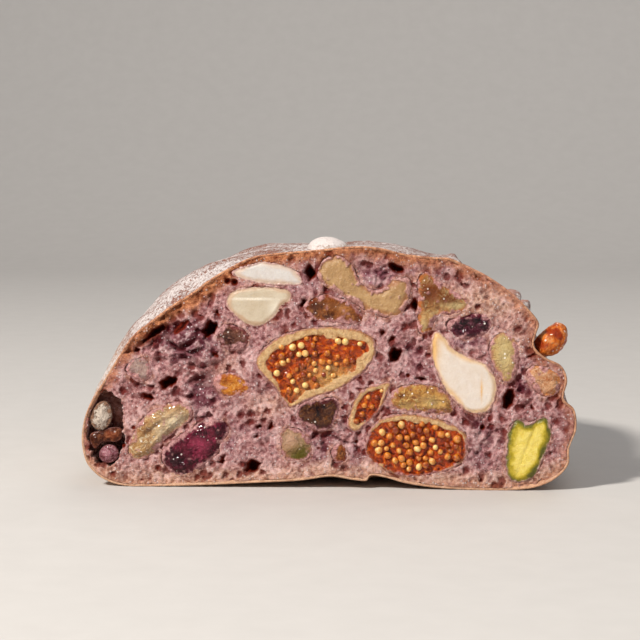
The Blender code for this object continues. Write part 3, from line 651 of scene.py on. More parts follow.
def crust_finish():
    """The baked crust: brown to cream skin mottled with white flour, and the bare torn strip of the score."""
    made, paint, shader = finish("stollen_crust", specular_ior_level=0.3)
    grain = paint.use(GRAIN, size=1.2, contrast=2.4)
    amount = paint.times(paint.mask("flour"), paint.between(paint.noise(9.0, 2.0), 0.3, 0.7, 0.82, 1.08))
    fine = paint.times(paint.use(SPECKS, size=0.7, share=0.5, dot=0.3), paint.times(amount, 0.5))
    dust = paint.most(paint.use(FLOUR, amount=amount, clump=0.8), fine)
    toasted = paint.mix(paint.use(GRAIN, size=0.9, contrast=3.2), (112, 42, 20), (232, 168, 124))
    white = paint.mix(paint.use(GRAIN, size=0.6, contrast=1.6), (196, 182, 178), (236, 229, 225))
    colour = paint.layers(
        paint.mix(grain, (100, 48, 34), (172, 108, 82)),
        (paint.mask("cream"), paint.mix(grain, (176, 128, 96), (222, 188, 158))),
        (paint.mask("bloom"), paint.mix(grain, (140, 82, 70), (214, 166, 148))),
        (paint.mask("toast"), toasted),
        (paint.times(dust, 0.9), white),
    )
    height = paint.plus(paint.times(grain, 0.6), paint.times(dust, 0.35))
    paint.onto(shader, height, 0.4, base_color=colour, roughness=paint.between(dust, 0.0, 1.0, 0.55, 0.92))
    return made


def fruit_finish(name, deep, middle, light, edge, mottle=3.0, rough=0.3, glow=0.2, bump=0.35, coat=0.3):
    """Moist fruit flesh: see-through depth from mottled colours, crumb stuck at its edge, a wet surface with
    painted white glints as strong as its coat.
    """
    made, paint, shader = finish(name, subsurface_weight=glow, subsurface_scale=0.0014, coat_roughness=0.05,
                                 subsurface_radius=(1.0, 0.7, 0.4), specular_ior_level=0.1)
    cloud = paint.noise(mottle, 4.0, 0.6, distortion=0.8)
    fine = paint.use(GRAIN, size=0.8, contrast=2.2)
    streaks = paint.noise(mottle * 0.45, distortion=1.6)
    veins = paint.times(paint.between(streaks, 0.48, 0.72), 0.7)
    # painted glints: white dots laid into the colour, as strong as the coat
    painted_glints = paint.use(SPECKS, size=0.95, share=0.3, dot=0.22)
    colour = paint.layers(
        paint.mix(paint.between(cloud, 0.34, 0.6), deep, middle),
        (paint.most(veins, paint.mask("light")), light),
        (paint.between(paint.mask("dark"), 0.0, 1.0), deep),
        (paint.times(paint.minus(1.0, fine), 0.35), deep),
        (paint.between(paint.uneven_edge(streaks), 0.1, 0.8, 0.7, 0.0), edge),
        (paint.times(painted_glints, coat), (255, 244, 232)),
    )
    stuck = paint.mask("crumbs")
    colour = paint.use(STUCK_CRUMB, colour=colour, stuck=paint.times(stuck, 0.9))
    wrinkles = paint.noise(1.5, 3.0, 0.5, distortion=1.4)
    height = paint.plus(paint.times(fine, 0.35), paint.times(wrinkles, 1.6))
    paint.onto(shader, height, bump, base_color=colour, roughness=paint.between(stuck, 0.0, 0.8, rough, 0.6),
               coat_weight=paint.between(stuck, 0.0, 0.8, coat * 0.6, 0.0))
    return made


def nut_finish(name, base, shade, edge, rough=0.42, bump=0.12, size=1.6):
    """A cut nut kernel: even waxy flesh with a faint grain, browner and with crumb stuck at its edge."""
    made, paint, shader = finish(name, subsurface_weight=0.25, subsurface_scale=0.002,
                                 subsurface_radius=(1.0, 0.85, 0.6), specular_ior_level=0.5)
    grain = paint.use(GRAIN, size=size, contrast=1.8)
    broad = paint.noise(6.0, 2.0)
    colour = paint.layers(
        paint.mix(grain, shade, base),
        (paint.between(broad, 0.4, 0.7, 0.0, 0.4), shade),
        (paint.mask("dark"), shade),
        (paint.mask("light"), (246, 238, 222)),
        (paint.between(paint.uneven_edge(broad), 0.1, 1.2, 0.6, 0.0), edge),
        (paint.mask("crease"), edge),
    )
    stuck = paint.mask("crumbs")
    colour = paint.use(STUCK_CRUMB, colour=colour, stuck=paint.times(stuck, 0.8))
    paint.onto(shader, paint.plus(grain, stuck), bump, base_color=colour,
               roughness=paint.between(grain, 0.2, 0.8, rough + 0.08, rough - 0.08))
    return made


def pistachio_finish():
    """A cut pistachio: a pale yellow heart, deeper yellow around it, an olive green edge, a fine crease."""
    made, paint, shader = finish("pistachio_cut", subsurface_weight=0.2, subsurface_scale=0.0015,
                                 subsurface_radius=(0.8, 1.0, 0.3), roughness=0.38)
    grain = paint.use(GRAIN, size=1.2, contrast=2.0)
    inward = paint.uneven_edge(paint.noise(2.8))
    heart = paint.mix(grain, (216, 186, 58), (242, 224, 130))
    yellow = paint.mix(paint.between(inward, 1.0, 2.4), (196, 168, 16), heart)
    colour = paint.mix(paint.between(inward, 0.1, 1.9), (92, 90, 8), yellow)
    stuck = paint.mask("crumbs")
    colour = paint.mix(paint.times(paint.mask("crease"), 0.5), colour, (168, 140, 30))
    colour = paint.use(STUCK_CRUMB, colour=colour, stuck=paint.times(stuck, 0.8))
    paint.onto(shader, paint.plus(grain, stuck), 0.2, base_color=colour)
    return made


def fig_finish():
    """A cut dried fig: pale leathery rind, glossy amber flesh, and a paler fibrous heart."""
    made, paint, shader = finish(
        "fig_cut", subsurface_weight=0.12, subsurface_scale=0.0012, subsurface_radius=(1.0, 0.5, 0.2),
        specular_ior_level=0.2, coat_roughness=0.06)
    grain = paint.use(GRAIN, size=0.9, contrast=2.4)
    cloud = paint.noise(1.9, 4.0, 0.6, distortion=1.4)
    inner = paint.between(paint.mask("rind"), 0.2, 0.8)
    colour = paint.layers(
        paint.mix(paint.between(cloud, 0.34, 0.56), (80, 16, 0), (176, 62, 2)),
        # the brightest orange lies on the raised lumps of the bump: the flesh's own lighter tone, and partly
        # a painted highlight
        (paint.between(cloud, 0.55, 0.72), (232, 132, 30)),
        (paint.times(paint.mask("light"), 0.85), paint.mix(grain, (178, 112, 44), (226, 186, 112))),
        (inner, paint.mix(grain, (180, 128, 78), (234, 200, 150))),
        (paint.between(paint.mask("edge"), 0.1, 0.5, 0.6, 0.0), (160, 88, 50)),
    )
    stuck = paint.mask("crumbs")
    colour = paint.use(STUCK_CRUMB, colour=colour, stuck=paint.times(stuck, 0.85))
    dry = paint.most(inner, stuck)
    paint.onto(shader, paint.plus(grain, paint.times(cloud, 1.2)), 0.4, base_color=colour,
               roughness=paint.between(dry, 0.0, 1.0, 0.16, 0.5),
               coat_weight=paint.between(dry, 0.0, 1.0, 0.42, 0.0))
    return made


def seed_finish():
    """Fig seeds: small glossy grains, from cream over yellow to deep amber."""
    made, paint, shader = finish("fig_seed", subsurface_weight=0.2, subsurface_scale=0.001, roughness=0.25,
                                 coat_weight=0.5, coat_roughness=0.06)
    tone = paint.plus(paint.mask("tone"), paint.between(paint.noise(0.9, 2.0), 0.3, 0.7, -0.2, 0.2))
    amber = paint.mix(paint.between(tone, 0.0, 0.55), (132, 44, 4), (206, 122, 34))
    paint.join(paint.mix(paint.between(tone, 0.5, 1.05), amber, (236, 200, 126)), shader.inputs["Base Color"])
    return made


def sugar_finish():
    """The kernel in the hollow: brown skin under a crust of pale sugar."""
    made, paint, shader = finish("dusted_nut", roughness=0.6)
    grain = paint.use(GRAIN, size=0.8, contrast=3.0)
    inward = paint.between(paint.mask("edge"), 0.0, 1.4, -0.25, 0.0)
    amount = paint.plus(paint.between(paint.noise(2.2), 0.3, 0.6, 0.42, 0.72), inward)
    crystals = paint.use(FLOUR, amount=amount, clump=0.8)
    skin = paint.mix(grain, (74, 26, 16), (186, 140, 108))
    colour = paint.mix(paint.times(crystals, 0.9), skin, (228, 210, 192))
    paint.onto(shader, paint.plus(grain, crystals), 0.5, base_color=colour)
    return made


# The loaf's crust and crumb


def rounded_outline(outline):
    """The loaf's outline away from the cut: without the cut's roughness, flat below and a little fuller."""
    spread = max(1, round(len(outline) * 0.033))
    even = sum(np.roll(outline, k, axis=0) for k in range(-spread, spread + 1)) / (2 * spread + 1)
    under = (even[:, 1] < BASE_TOP) & (even[:, 0] > BASE_LEFT) & (even[:, 0] < BASE_RIGHT)
    even[under, 1] = 0.0
    swell = np.interp(loaf_angle(even), *np.array(SWELL).T)
    swell *= smooth_step((even[:, 1] - 1) / 4)
    loop = even + outward_normals(even) * swell[:, None]
    for _ in range(spread):
        loop = 0.5 * loop + 0.25 * (np.roll(loop, 1, axis=0) + np.roll(loop, -1, axis=0))
    return loop


def loaf_angle(points):
    """The angle of each point around the loaf's middle, in degrees, 0 to the right and 90 up."""
    return np.degrees(np.arctan2(points[:, 1] - NOSE_Z, points[:, 0] - NOSE_X))


def score_places(outline):
    """How far each point of an outline is past the score's left lip, and the score's width."""
    near = [np.argmin(np.linalg.norm(outline - np.array(p), axis=1)) for p in (SCORE_LEFT, SCORE_RIGHT)]
    step = np.linalg.norm(outline[1] - outline[0])
    return (np.arange(len(outline)) - near[0]) * step, (near[1] - near[0]) * step


def score_strip(place, width):
    """How much each place lies in the score's strip: 1 inside, with soft sides."""
    return smooth_step((place - 0.5) / 1.5) * smooth_step((width - 0.5 - place) / 1.5)


def score_relief(outline, share):
    """How far the score's lips and sunk strip move each point of the section at this share of the depth."""
    place, width = score_places(outline)
    lips = sum(
        height * np.exp(-(((place - at) / LIP_WIDTH) ** 2)) for height, at in zip(LIP_HEIGHTS, (0, width))
    )
    inside = smooth_step(place / 3) * smooth_step((width - place) / 3)
    fade = smooth_step(share / 0.05) * smooth_step((SCORE_END - share) / 0.12)
    return (lips - SCORE_SINK * inside) * fade


def loaf_section(outline, rounded, share):
    """The loaf's section at a share of its depth, as X and Z: the cut's outline at 0 and a point at 1."""
    away = 1 - (1 - min(share / SWELL_END, 1)) ** 2
    section = outline * (1 - away) + rounded * away
    lumps = 0.4 * np.sin(section[:, 0] * 0.21 + share * 11) + 0.3 * np.sin(section[:, 1] * 0.33 - share * 17)
    lumps *= away * smooth_step((section[:, 1] - 6) / 10)
    section = section + outward_normals(section) * (lumps + score_relief(outline, share))[:, None]
    end = max(0.0, (share - TAPER_START) / (1 - TAPER_START))
    narrow = (1 - end**2.3) ** (1 / 2.3)
    low = (1 - end**7) ** (1 / 7)
    x, z = section[:, 0], np.maximum(section[:, 1], 0)
    return np.column_stack([
        NOSE_X + (x - NOSE_X) * narrow,
        np.where(z < NOSE_Z, NOSE_Z - (NOSE_Z - z) * low, NOSE_Z + (z - NOSE_Z) * narrow),
    ])


def shell_ring(outline, rounded, depth, thickness):
    """A ring inside the loaf's section at a depth behind the cut, this thickness in from its outside."""
    return ring_at(moved_in(loaf_section(outline, rounded, depth / LOAF_DEPTH), thickness), depth)


def build_crust(material):
    """The crust as a thick shell: a recess for the crumb behind the cut, a thin edge in it, the outside."""
    outline = closed_spline(RIM, CRUST_SIDES)
    rounded = rounded_outline(outline)
    crumbly = 0.16 * noise(outline, 0.9, 6)
    edge_rings = [
        *[shell_ring(outline, rounded, depth, CRUST_INNER) for depth in RECESS_DEPTHS],
        ring_at(moved_in(outline, CRUST_EDGE + 0.15), 0.3),
        ring_at(moved_in(outline, CRUST_EDGE - 0.1), crumbly),
        ring_at(moved_in(outline, 0.2), crumbly - 0.05),
        ring_at(moved_in(outline, 0.05), 0.12),
    ]
    near = np.linspace(0.004, 0.16, 40)
    far = np.linspace(0.16, TAPER_START, 28)[1:]
    turns = np.sin(np.linspace(0, math.pi / 2, 62)[1:-1])
    shares = np.concatenate([near, far, TAPER_START + (1 - TAPER_START) * turns])
    body = np.array([ring_at(loaf_section(outline, rounded, s), s * LOAF_DEPTH) for s in shares])

    flat = body.reshape(-1, 3)
    stretched = flat * (1, 0.55, 1)
    relief = 0.26 * noise(stretched, 6.0, 1) + 0.16 * noise(stretched, 2.6, 2)
    relief += 0.09 * noise(flat, 1.1, 3) - 0.25
    place, width = score_places(outline)
    depth_share = np.repeat(shares, CRUST_SIDES)
    bloom = score_strip(np.tile(place, len(shares)) + 0.9 * noise(stretched, 3.0, 7), width)
    bloom *= smooth_step((SCORE_END - depth_share + 0.05 * noise(flat, 4.0, 9)) / 0.1)
    relief += bloom * (0.35 * noise(flat, 2.0, 4) + 0.2 * noise(flat, 0.9, 5))
    fade = smooth_step(depth_share / 0.012) * smooth_step((flat[:, 2] - 0.4) / 1.6)
    flat = flat + grid_normals(body).reshape(-1, 3) * (relief * fade)[:, None]
    nose = [[NOSE_X, CUT_Y + LOAF_DEPTH - 0.05, NOSE_Z]]

    places = np.vstack([*edge_rings, flat, nose])
    rings = ring_numbers(CRUST_SIDES, len(edge_rings) + len(shares))
    faces = strips(rings) + fan(rings[-1], len(places) - 1) + [tuple(rings[0])]

    front = slice(0, len(edge_rings) * CRUST_SIDES)
    height, angle = places[:, 2], loaf_angle(places[:, [0, 2]])
    patches = noise(places, 11.0, 8)
    side = np.where(angle < -90, angle + 360, angle)
    cream = 1 - smooth_step((height - 13 - 5 * patches) / 12)
    cream = np.maximum(cream, 0.85 * smooth_step((side - 150) / 18))
    cream[front] = np.maximum(cream[front], 0.55)
    bloom = np.concatenate([np.tile(score_strip(place, width), len(edge_rings)), bloom, [0]])
    flour = 0.565 - 0.2 * smooth_step((9 - height) / 8) + 0.07 * patches
    flour = np.where(height < 0.6, 0.22, flour) * (1 - 0.7 * bloom)
    flour[front] *= 0.55
    toast = np.interp(angle[front], *np.array(TOAST)[:, :2].T)
    masks = {"cream": cream, "bloom": bloom, "flour": flour, "toast": toast}
    new_piece("crust", places, faces, material, "loaf", masks)


def hole_loop(index, hole):
    """The uneven mouth of one hole in the crumb."""
    x, z, wide, high, tilt, _ = hole
    count = 14
    angles = np.linspace(0, 2 * math.pi, count, endpoint=False)
    reach = 1 + np.random.default_rng(100 + index).uniform(-0.2, 0.2, count)
    turn = math.radians(tilt)
    across, up = wide * reach * np.cos(angles), high * reach * np.sin(angles)
    points = np.column_stack([
        x + across * math.cos(turn) - up * math.sin(turn),
        z + across * math.sin(turn) + up * math.cos(turn),
    ])
    mouth = closed_spline(points, max(16, round(loop_length(points) / 0.28)))
    return roughened(mouth, 0.35, 0.22, 300 + index)


def crumb_front(outline, pockets, holes):
    """The flat points and triangles of the crumb's front, with edges along every pocket and hole."""
    inner_loops = []
    for loop, _ in pockets:
        inner_loops += [loop, moved_in(loop, 0.16)]
    kept = []
    for loop in [*inner_loops, *[loop for loop, _ in holes]]:
        inside = inside_by(loop, outline)
        kept.append(loop[inside > 0.1] if (inside < 0.1).any() else loop)
    points = scattered(outline, CRUMB_STEP, 1)
    deep = np.max([inside_by(points, loop) for loop, _ in pockets], axis=0)
    coarse = np.random.default_rng(2).random(len(points)) < 0.06
    return triangulated(outline, [loop for loop in kept if len(loop) > 5], points[(deep < 0.3) | coarse])


def crumb_pits(flat):
    """The crumb's torn folds and packed pits: the depth at each point, and the masks that go with them, which
    carry the painted shade in cavities and low folds and the painted highlight on ridges.
    """
    torn = zones(flat, TORN_ZONES)
    warp = flat + np.column_stack([noise(flat, 5.0, 11), noise(flat, 5.0, 12)]) * 2.2
    folds = 1 - smooth_step(np.abs(noise(warp * (1, 1.25), 4.2, 13)) * 2.2)
    small_folds = 1 - smooth_step(np.abs(noise(warp, 2.1, 20)) * 2.6)
    torn_pit, torn_value = bubbles(warp * (0.8, 1.2), 3.0, 30)
    large_pit, large_value = bubbles(flat + 0.3 * (warp - flat), 1.9, 31)
    small_pit, small_value = bubbles(flat, 0.95, 32)
    open_crumb = smooth_step(0.5 + 0.9 * noise(flat, 6.0, 33))
    large = large_pit * smooth_step((large_value - 0.75 + 0.35 * open_crumb) * 3)
    small = small_pit * (0.35 + 0.65 * small_value)
    low = torn * np.maximum(torn_pit * smooth_step(torn_value * 2.2 - 0.5), 0.7 * folds)
    depth = 0.34 * noise(flat, 6.5, 10) + 0.34 * noise(flat, 3.0, 14) + 0.1 * noise(flat, 0.8, 16)
    depth += 0.6 * large + 0.26 * small + 1.7 * low + 0.3 * torn * small_folds
    ridge_highlight = (0.35 + 0.65 * torn) * (1 - smooth_step(4 * large + 3 * low + 1.3 * small_pit))
    cavity_shade = np.clip(0.8 * large + 0.4 * small * (1 - large), 0, 1)
    return depth, {"cavity_shade": cavity_shade, "low": low, "ridge_highlight": ridge_highlight}


def sink_pores(flat, depth):
    """Sinks small round pores into the crumb's depth. Returns how much painted shade each point gets in them.
    """
    tree = kdtree.KDTree(len(flat))
    for i, (x, z) in enumerate(flat.tolist()):
        tree.insert((x, 0, z), i)
    tree.balance()
    draw = np.random.default_rng(21)
    pit_shade = np.zeros(len(flat))
    centres = draw.uniform((-58, 0), (58, 57), (PORES, 2))
    sizes = 0.25 + 0.9 * draw.random(PORES) ** 6
    # how deep the painted shade is in each pore
    darkness = smooth_step(noise(centres, 8.0, 23) * 1.5 + 0.3) * (1 - 0.8 * zones(centres, PALE_ZONES))
    for (x, z), size, dark in zip(centres.tolist(), sizes.tolist(), darkness.tolist()):
        for _, i, gap in tree.find_range((x, 0, z), size):
            sunk = 1 - (gap / size) ** 2
            depth[i] += sunk * size * (0.5 + 0.6 * dark)
            pit_shade[i] = max(pit_shade[i], sunk * dark * min(0.85, size * 1.2 - 0.15))
    return pit_shade


def build_crumb(material, pockets):
    """The crumb: a slab with a finely pitted front, holes, and a pocket for each fruit and nut."""
    outline = moved_in(closed_spline(RIM, CRUMB_SIDES), CRUST_EDGE)
    holes = [(hole_loop(i, hole), hole[5]) for i, hole in enumerate(HOLES)]
    flat, faces, around = crumb_front(outline, pockets, holes)
    from_rim = inside_by(flat, outline[::3])
    depth, masks = crumb_pits(flat)
    pit_shade = sink_pores(flat, depth)
    lip = smooth_step(1 - from_rim / 0.5)
    depth = np.clip(depth, -0.5, None) * (1 - 0.7 * lip) + 0.1 * lip
    for loop, reach in holes:
        inward = inside_by(flat, loop)
        wall = smooth_step((inward + 0.15 + 0.25 * noise(flat, 1.1, 25)) / 1.3)
        depth = np.maximum(depth, wall * reach * 0.7)
        # painted shade down each hole
        pit_shade = np.maximum(pit_shade, smooth_step((inward + 0.25) / 1.7))
    halo = np.zeros(len(flat))
    for loop, reach in pockets:
        inward = inside_by(flat, loop)
        depth *= 1 - 0.7 * smooth_step(1 + inward / 0.9)
        wall = smooth_step((inward + 0.1) / 0.22)
        depth = np.where(wall > 0, np.maximum(depth, wall * reach), depth)
        halo = np.maximum(halo, smooth_step(1 + (inward + 0.9 * noise(flat, 2.4, 24) + 0.1) / 0.9))
    angles, strengths, widths = np.array(TOAST).T
    angle = loaf_angle(flat)
    width = np.interp(angle, angles, widths) * (1 + 0.35 * noise(flat, 3.5, 18))
    toast = smooth_step(1.25 - from_rim / width + 0.15 * noise(flat, 1.0, 19))
    toast *= np.interp(angle, angles, strengths)
    base = smooth_step((4.6 - from_rim + noise(flat, 3.0, 26)) / 3.2)
    base *= 1 - smooth_step((flat[:, 1] - 5) / 5)
    masks |= {"toast": toast, "pit_shade": pit_shade, "halo": halo, "purple": zones(flat, PURPLE_ZONES),
              "pale": np.maximum(zones(flat, PALE_ZONES), 0.9 * base)}
    front = np.column_stack([flat[:, 0], CUT_Y + depth, flat[:, 1]])
    whole = closed_spline(RIM, len(around))
    rounded = rounded_outline(whole)
    backs = [shell_ring(whole, rounded, deep, CRUST_INNER + 0.2) for deep in SLAB_DEPTHS]
    places, all_faces = closed_slab(front, faces, around, backs)
    new_piece("crumb", places, all_faces, material, "loaf", masks)


# Fruit and nuts


def build_in_cut(node, slot, material, relief, depth, zone_masks=None, more_masks=None,
                 ring_depth=0.3, grow=0.45, stuck=0.5, ragged=0.3, convex=False):
    """A fruit or nut in the cut face. Returns the mouth of the pocket that it needs in the crumb.

    relief gives how far its front stands proud at its points. grow is how far its edge reaches under the
    crumb, stuck how far crumb lies over it, and ragged how uneven the mouth is. zone_masks holds soft oval
    zones by the name of their mask, and more_masks gives further masks at the points.
    """
    ring = node_ring(node, ring_depth, convex)
    loop = closed_spline(ring, round(loop_length(ring) / LOOP_STEP))
    mouth = roughened(loop, ragged, 0.16, len(ring))
    loop = moved_in(loop, -grow)
    flat, faces, around = triangulated(loop, [], scattered(loop, FRUIT_STEP, len(node)))
    edge = inside_by(flat, loop) - grow
    middle = loop.mean(axis=0)
    long_axis = np.linalg.svd(loop - middle)[2][0]
    place = {"flat": flat, "edge": edge, "along": (flat - middle) @ long_axis,
             "across": (flat - middle) @ np.array([-long_axis[1], long_axis[0]])}
    reach = stuck * (1 + 1.6 * noise(flat, 1.9, 91) + 1.3 * noise(flat, 0.8, 94))
    crumbs = smooth_step((reach - edge) / 0.3)
    if stuck > 0.3:
        crumbs = np.maximum(crumbs, 0.7 * smooth_step((noise(flat, 1.0, 92) - 0.92 + 0.4 * stuck) * 6))
    proud = np.minimum(relief(place) + 0.16 * crumbs * (1 + noise(flat, 0.6, 93)), FRONT_LIMIT)
    front = np.column_stack([flat[:, 0], CUT_Y - proud, flat[:, 1]])
    boundary = flat[around]
    centre = boundary.mean(axis=0)
    backs = [ring_at(boundary, 0.9)]
    backs += [ring_at(centre + (boundary - centre) * scale, depth * share) for scale, share in BACK_RINGS]
    places, all_faces = closed_slab(front, faces, around, backs)
    masks = {"edge": edge, "crumbs": crumbs}
    masks |= {name: zones(flat, rows) for name, rows in (zone_masks or {}).items()}
    masks |= more_masks(place) if more_masks else {}
    new_piece(node + "_piece", places, all_faces, material, node, masks)
    return mouth


def domed(height, fall=0.8, lumps=0.2, size=2.0, seed=1, ridges=0.0, drop=0.35):
    """A relief for moist fruit: a low dome whose edge dips under the crumb, with soft lumps and ridges."""

    def relief(place):
        rise = smooth_step(place["edge"] / fall)
        low = min(-0.12, height - drop)
        proud = low + (height - low) * rise + 0.9 * np.minimum(place["edge"], 0)
        proud = proud + lumps * noise(place["flat"], size, seed) * rise
        waves = np.abs(noise(np.column_stack([place["across"] * 1.6, place["along"] * 0.35]), 1.5, seed + 1))
        return proud + ridges * (1 - 2 * waves) * rise

    return relief


def middle_crease(place):
    """A fine line along the middle of a cut nut: 1 on it and 0 beside it."""
    return np.exp(-((place["across"] / 0.3) ** 2))


def flat_cut(height, fall=0.5, lumps=0.04, crease=0.0):
    """A relief for a cut nut: nearly flat, with a rounded edge and an optional crease along its middle."""

    def relief(place):
        rise = smooth_step(place["edge"] / fall)
        proud = -0.12 + (height + 0.12) * rise + 0.9 * np.minimum(place["edge"], 0)
        proud = proud + lumps * noise(place["flat"], 1.8, 31) * rise
        return proud - crease * middle_crease(place) * smooth_step(place["edge"] / 1.2)

    return relief


def rind_share(place):
    """How much of a cut fig's front is rind: 1 by its edge and 0 inside, thinner where the thin zones say."""
    thin = zones(place["flat"], place["thin"])
    width = place["rind"] * (1 + 0.45 * noise(place["flat"], 3.5, 43)) * (1 - thin) - 0.5 * thin
    return 1 - smooth_step((place["edge"] - width + 0.35 + 0.3 * noise(place["flat"], 0.9, 44)) / 0.7)


def fig_relief(thin, rind_width=1.5):
    """A relief for a cut fig: a raised rind, and glossy uneven flesh that lies a little lower."""

    def relief(place):
        place["thin"], place["rind"] = thin, rind_width
        rind = rind_share(place)
        rise = smooth_step(place["edge"] / 0.35)
        uneven = 0.32 * noise(place["flat"], 1.5, 41) + 0.16 * noise(place["flat"], 0.7, 42)
        sunk = 0.9 * np.minimum(place["edge"], 0) - 0.12 * (1 - rise)
        return sunk + (0.12 * rind + (1 - rind) * (-0.3 + uneven)) * rise

    return relief


def seed_places(mouth, draw, spacing, wanted, clear, skip):
    """Places for seeds inside a fig, clear of its edge and a spacing apart, few in the skip zones."""
    tries = draw.uniform(mouth.min(axis=0), mouth.max(axis=0), (9000, 2))
    tries = tries[inside_by(tries, mouth) > clear]
    if skip:
        tries = tries[draw.random(len(tries)) > zones(tries, skip)]
    kept = []
    for place in tries:
        if len(kept) < wanted and all(np.linalg.norm(place - other) > spacing for other in kept):
            kept.append(place)
    return kept


def seed_cluster(node, mouth, spacing, wanted, radius, seed, material, skip=None, rind=1.0):
    """Fig seeds: small grains, each turned its own way, half sunk in the flesh."""
    draw = np.random.default_rng(seed)
    kept = seed_places(mouth, draw, spacing, wanted, rind + radius, skip)
    ball = bmesh.new()
    bmesh.ops.create_icosphere(ball, subdivisions=3, radius=1)
    corners = np.array([v.co for v in ball.verts])
    sides = np.array([[v.index for v in f.verts] for f in ball.faces])
    ball.free()
    places, faces, tones = [], [], []
    for number, (x, z) in enumerate(kept):
        tones += [draw.random()] * len(corners)
        size = radius * draw.uniform(0.78, 1.18)
        shape = corners * (size, size * draw.uniform(0.85, 1.0), size * draw.uniform(0.82, 1.0))
        spin = np.eye(3)
        for turn, axis in zip(draw.uniform(0, math.pi, 3), "XYZ"):
            spin = spin @ np.array(Matrix.Rotation(turn, 3, axis))
        places.append(shape @ spin.T + (x, CUT_Y + draw.uniform(-0.1, 0.35), z))
        faces += (sides + number * len(corners)).tolist()
    new_piece(node + "_seeds", np.vstack(places), faces, material, node, {"tone": tones})


def build_hanging_raisin(material):
    """The orange raisin that sticks out of the right edge: wrinkled all round."""
    outline = closed_spline(node_ring("raisin_orange_out", 3.2), 90)
    centre = outline.mean(axis=0)
    turns = np.linspace(-math.pi / 2, math.pi / 2, 40)[1:-1]
    grid = np.array([
        ring_at(centre + (outline - centre) * math.cos(turn) ** 0.75, 3.6 + 3.15 * math.sin(turn))
        for turn in turns
    ])
    flat = grid.reshape(-1, 3)
    turned = flat @ np.array(Matrix.Rotation(math.radians(35), 3, "Y")).T
    wrinkles = np.abs(noise(turned * (1, 1, 0.45), 1.7, 51))
    relief = 0.3 - 0.75 * wrinkles + 0.15 * noise(flat, 0.8, 52)
    flat = flat + grid_normals(grid).reshape(-1, 3) * relief[:, None] * 0.8
    rings = ring_numbers(len(outline), len(turns))
    tips = [flat[rings[0]].mean(axis=0) - (0, 0.15, 0), flat[rings[-1]].mean(axis=0) + (0, 0.15, 0)]
    faces = strips(rings) + fan(rings[0], len(flat)) + fan(rings[-1], len(flat) + 1)
    # the dark mask is painted shade in the grooves between the wrinkles
    masks = {"edge": np.full(len(flat) + 2, 2.0), "dark": smooth_step(wrinkles * 2.2 - 0.5)}
    new_piece("raisin_orange_out_piece", np.vstack([flat, *tips]), faces, material, "raisin_orange_out",
              masks)


def build_top_almond(material):
    """The almond that pokes through the top crust under a coat of flour."""
    shape = bmesh.new()
    bmesh.ops.create_uvsphere(shape, u_segments=72, v_segments=40, radius=1)
    low, high = (Vector(corner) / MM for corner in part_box("almond_top"))
    middle, turn = (low + high) / 2, math.radians(24)
    places = []
    for v in shape.verts:
        x, y, z = v.co.x * 5.0 * (1 - 0.22 * v.co.y), v.co.y * 7.4, v.co.z * 3.6
        places.append((middle.x + x * math.cos(turn) - y * math.sin(turn),
                       middle.y + x * math.sin(turn) + y * math.cos(turn), middle.z + z))
    faces = [[v.index for v in f.verts] for f in shape.faces]
    shape.free()
    places = np.array(places)
    places[:, 2] += 0.1 * noise(places, 2.2, 61)
    flour = 0.62 + 0.35 * smooth_step((places[:, 2] - high.z + 2.2) / 1.6)
    masks = {"cream": np.ones(len(places)), "flour": flour}
    new_piece("almond_top_piece", places, faces, material, "almond_top", masks)


# The soft fruit's finishes: colours deep, middle, light and at the edge, and what differs from the usual
FRUIT_FINISHES = {
    "raisin_amber": ((70, 26, 6), (138, 74, 26), (188, 124, 68), (132, 56, 26), {"coat": 0.8}),
    "raisin_brown": ((58, 20, 10), (120, 56, 28), (170, 106, 70), (70, 30, 18), {}),
    "raisin_pale": ((128, 98, 92), (168, 138, 128), (196, 172, 160), (160, 118, 112),
                    {"glow": 0.5, "rough": 0.35}),
    "raisin_peach": ((170, 106, 66), (206, 156, 116), (230, 196, 164), (196, 118, 60),
                     {"mottle": 2.2, "bump": 0.4}),
    "raisin_orange": ((150, 70, 12), (204, 130, 44), (230, 178, 96), (170, 96, 50), {"glow": 0.45}),
    "raisin_vivid": ((150, 50, 8), (216, 116, 34), (240, 180, 116), (190, 90, 40),
                     {"glow": 0.3, "bump": 0.4, "coat": 0.7}),
    "raisin_golden": ((128, 84, 44), (184, 142, 92), (238, 222, 188), (180, 124, 90),
                      {"coat": 0.95, "bump": 0.5}),
    "raisin_amber_gold": ((122, 64, 20), (190, 138, 68), (230, 202, 132), (180, 116, 76),
                          {"coat": 0.95, "bump": 0.5}),
    "raisin_green": ((118, 72, 28), (186, 146, 84), (224, 206, 150), (180, 124, 92), {"coat": 0.75}),
    "raisin_tawny": ((112, 56, 22), (166, 118, 68), (214, 192, 138), (176, 96, 44), {"coat": 0.6}),
    "raisin_moss": ((84, 74, 14), (158, 120, 84), (208, 164, 140), (150, 96, 76), {"coat": 0.4}),
    "fruit_dark": ((18, 3, 8), (66, 14, 28), (140, 76, 92), (104, 22, 40),
                   {"glow": 0.0, "bump": 0.5, "coat": 0.7}),
    "raisin_olive": ((22, 3, 5), (78, 36, 12), (132, 80, 38), (76, 14, 28),
                     {"glow": 0.0, "bump": 0.45, "coat": 0.7}),
    "raisin_umber": ((48, 15, 12), (104, 60, 44), (164, 112, 94), (118, 54, 54),
                     {"glow": 0.0, "bump": 0.45, "coat": 0.6}),
    "cranberry": ((40, 4, 14), (98, 16, 38), (172, 58, 88), (70, 14, 26),
                  {"glow": 0.05, "bump": 0.5, "coat": 0.5}),
    "currant_rosy": ((104, 50, 56), (164, 108, 118), (206, 168, 170), (90, 40, 44),
                     {"mottle": 1.4, "rough": 0.4, "coat": 0.2, "bump": 0.4}),
}


def soft_fruit(name):
    """One of the soft fruit's finishes."""
    *colours, more = FRUIT_FINISHES[name]
    return fruit_finish(name, *colours, **more)


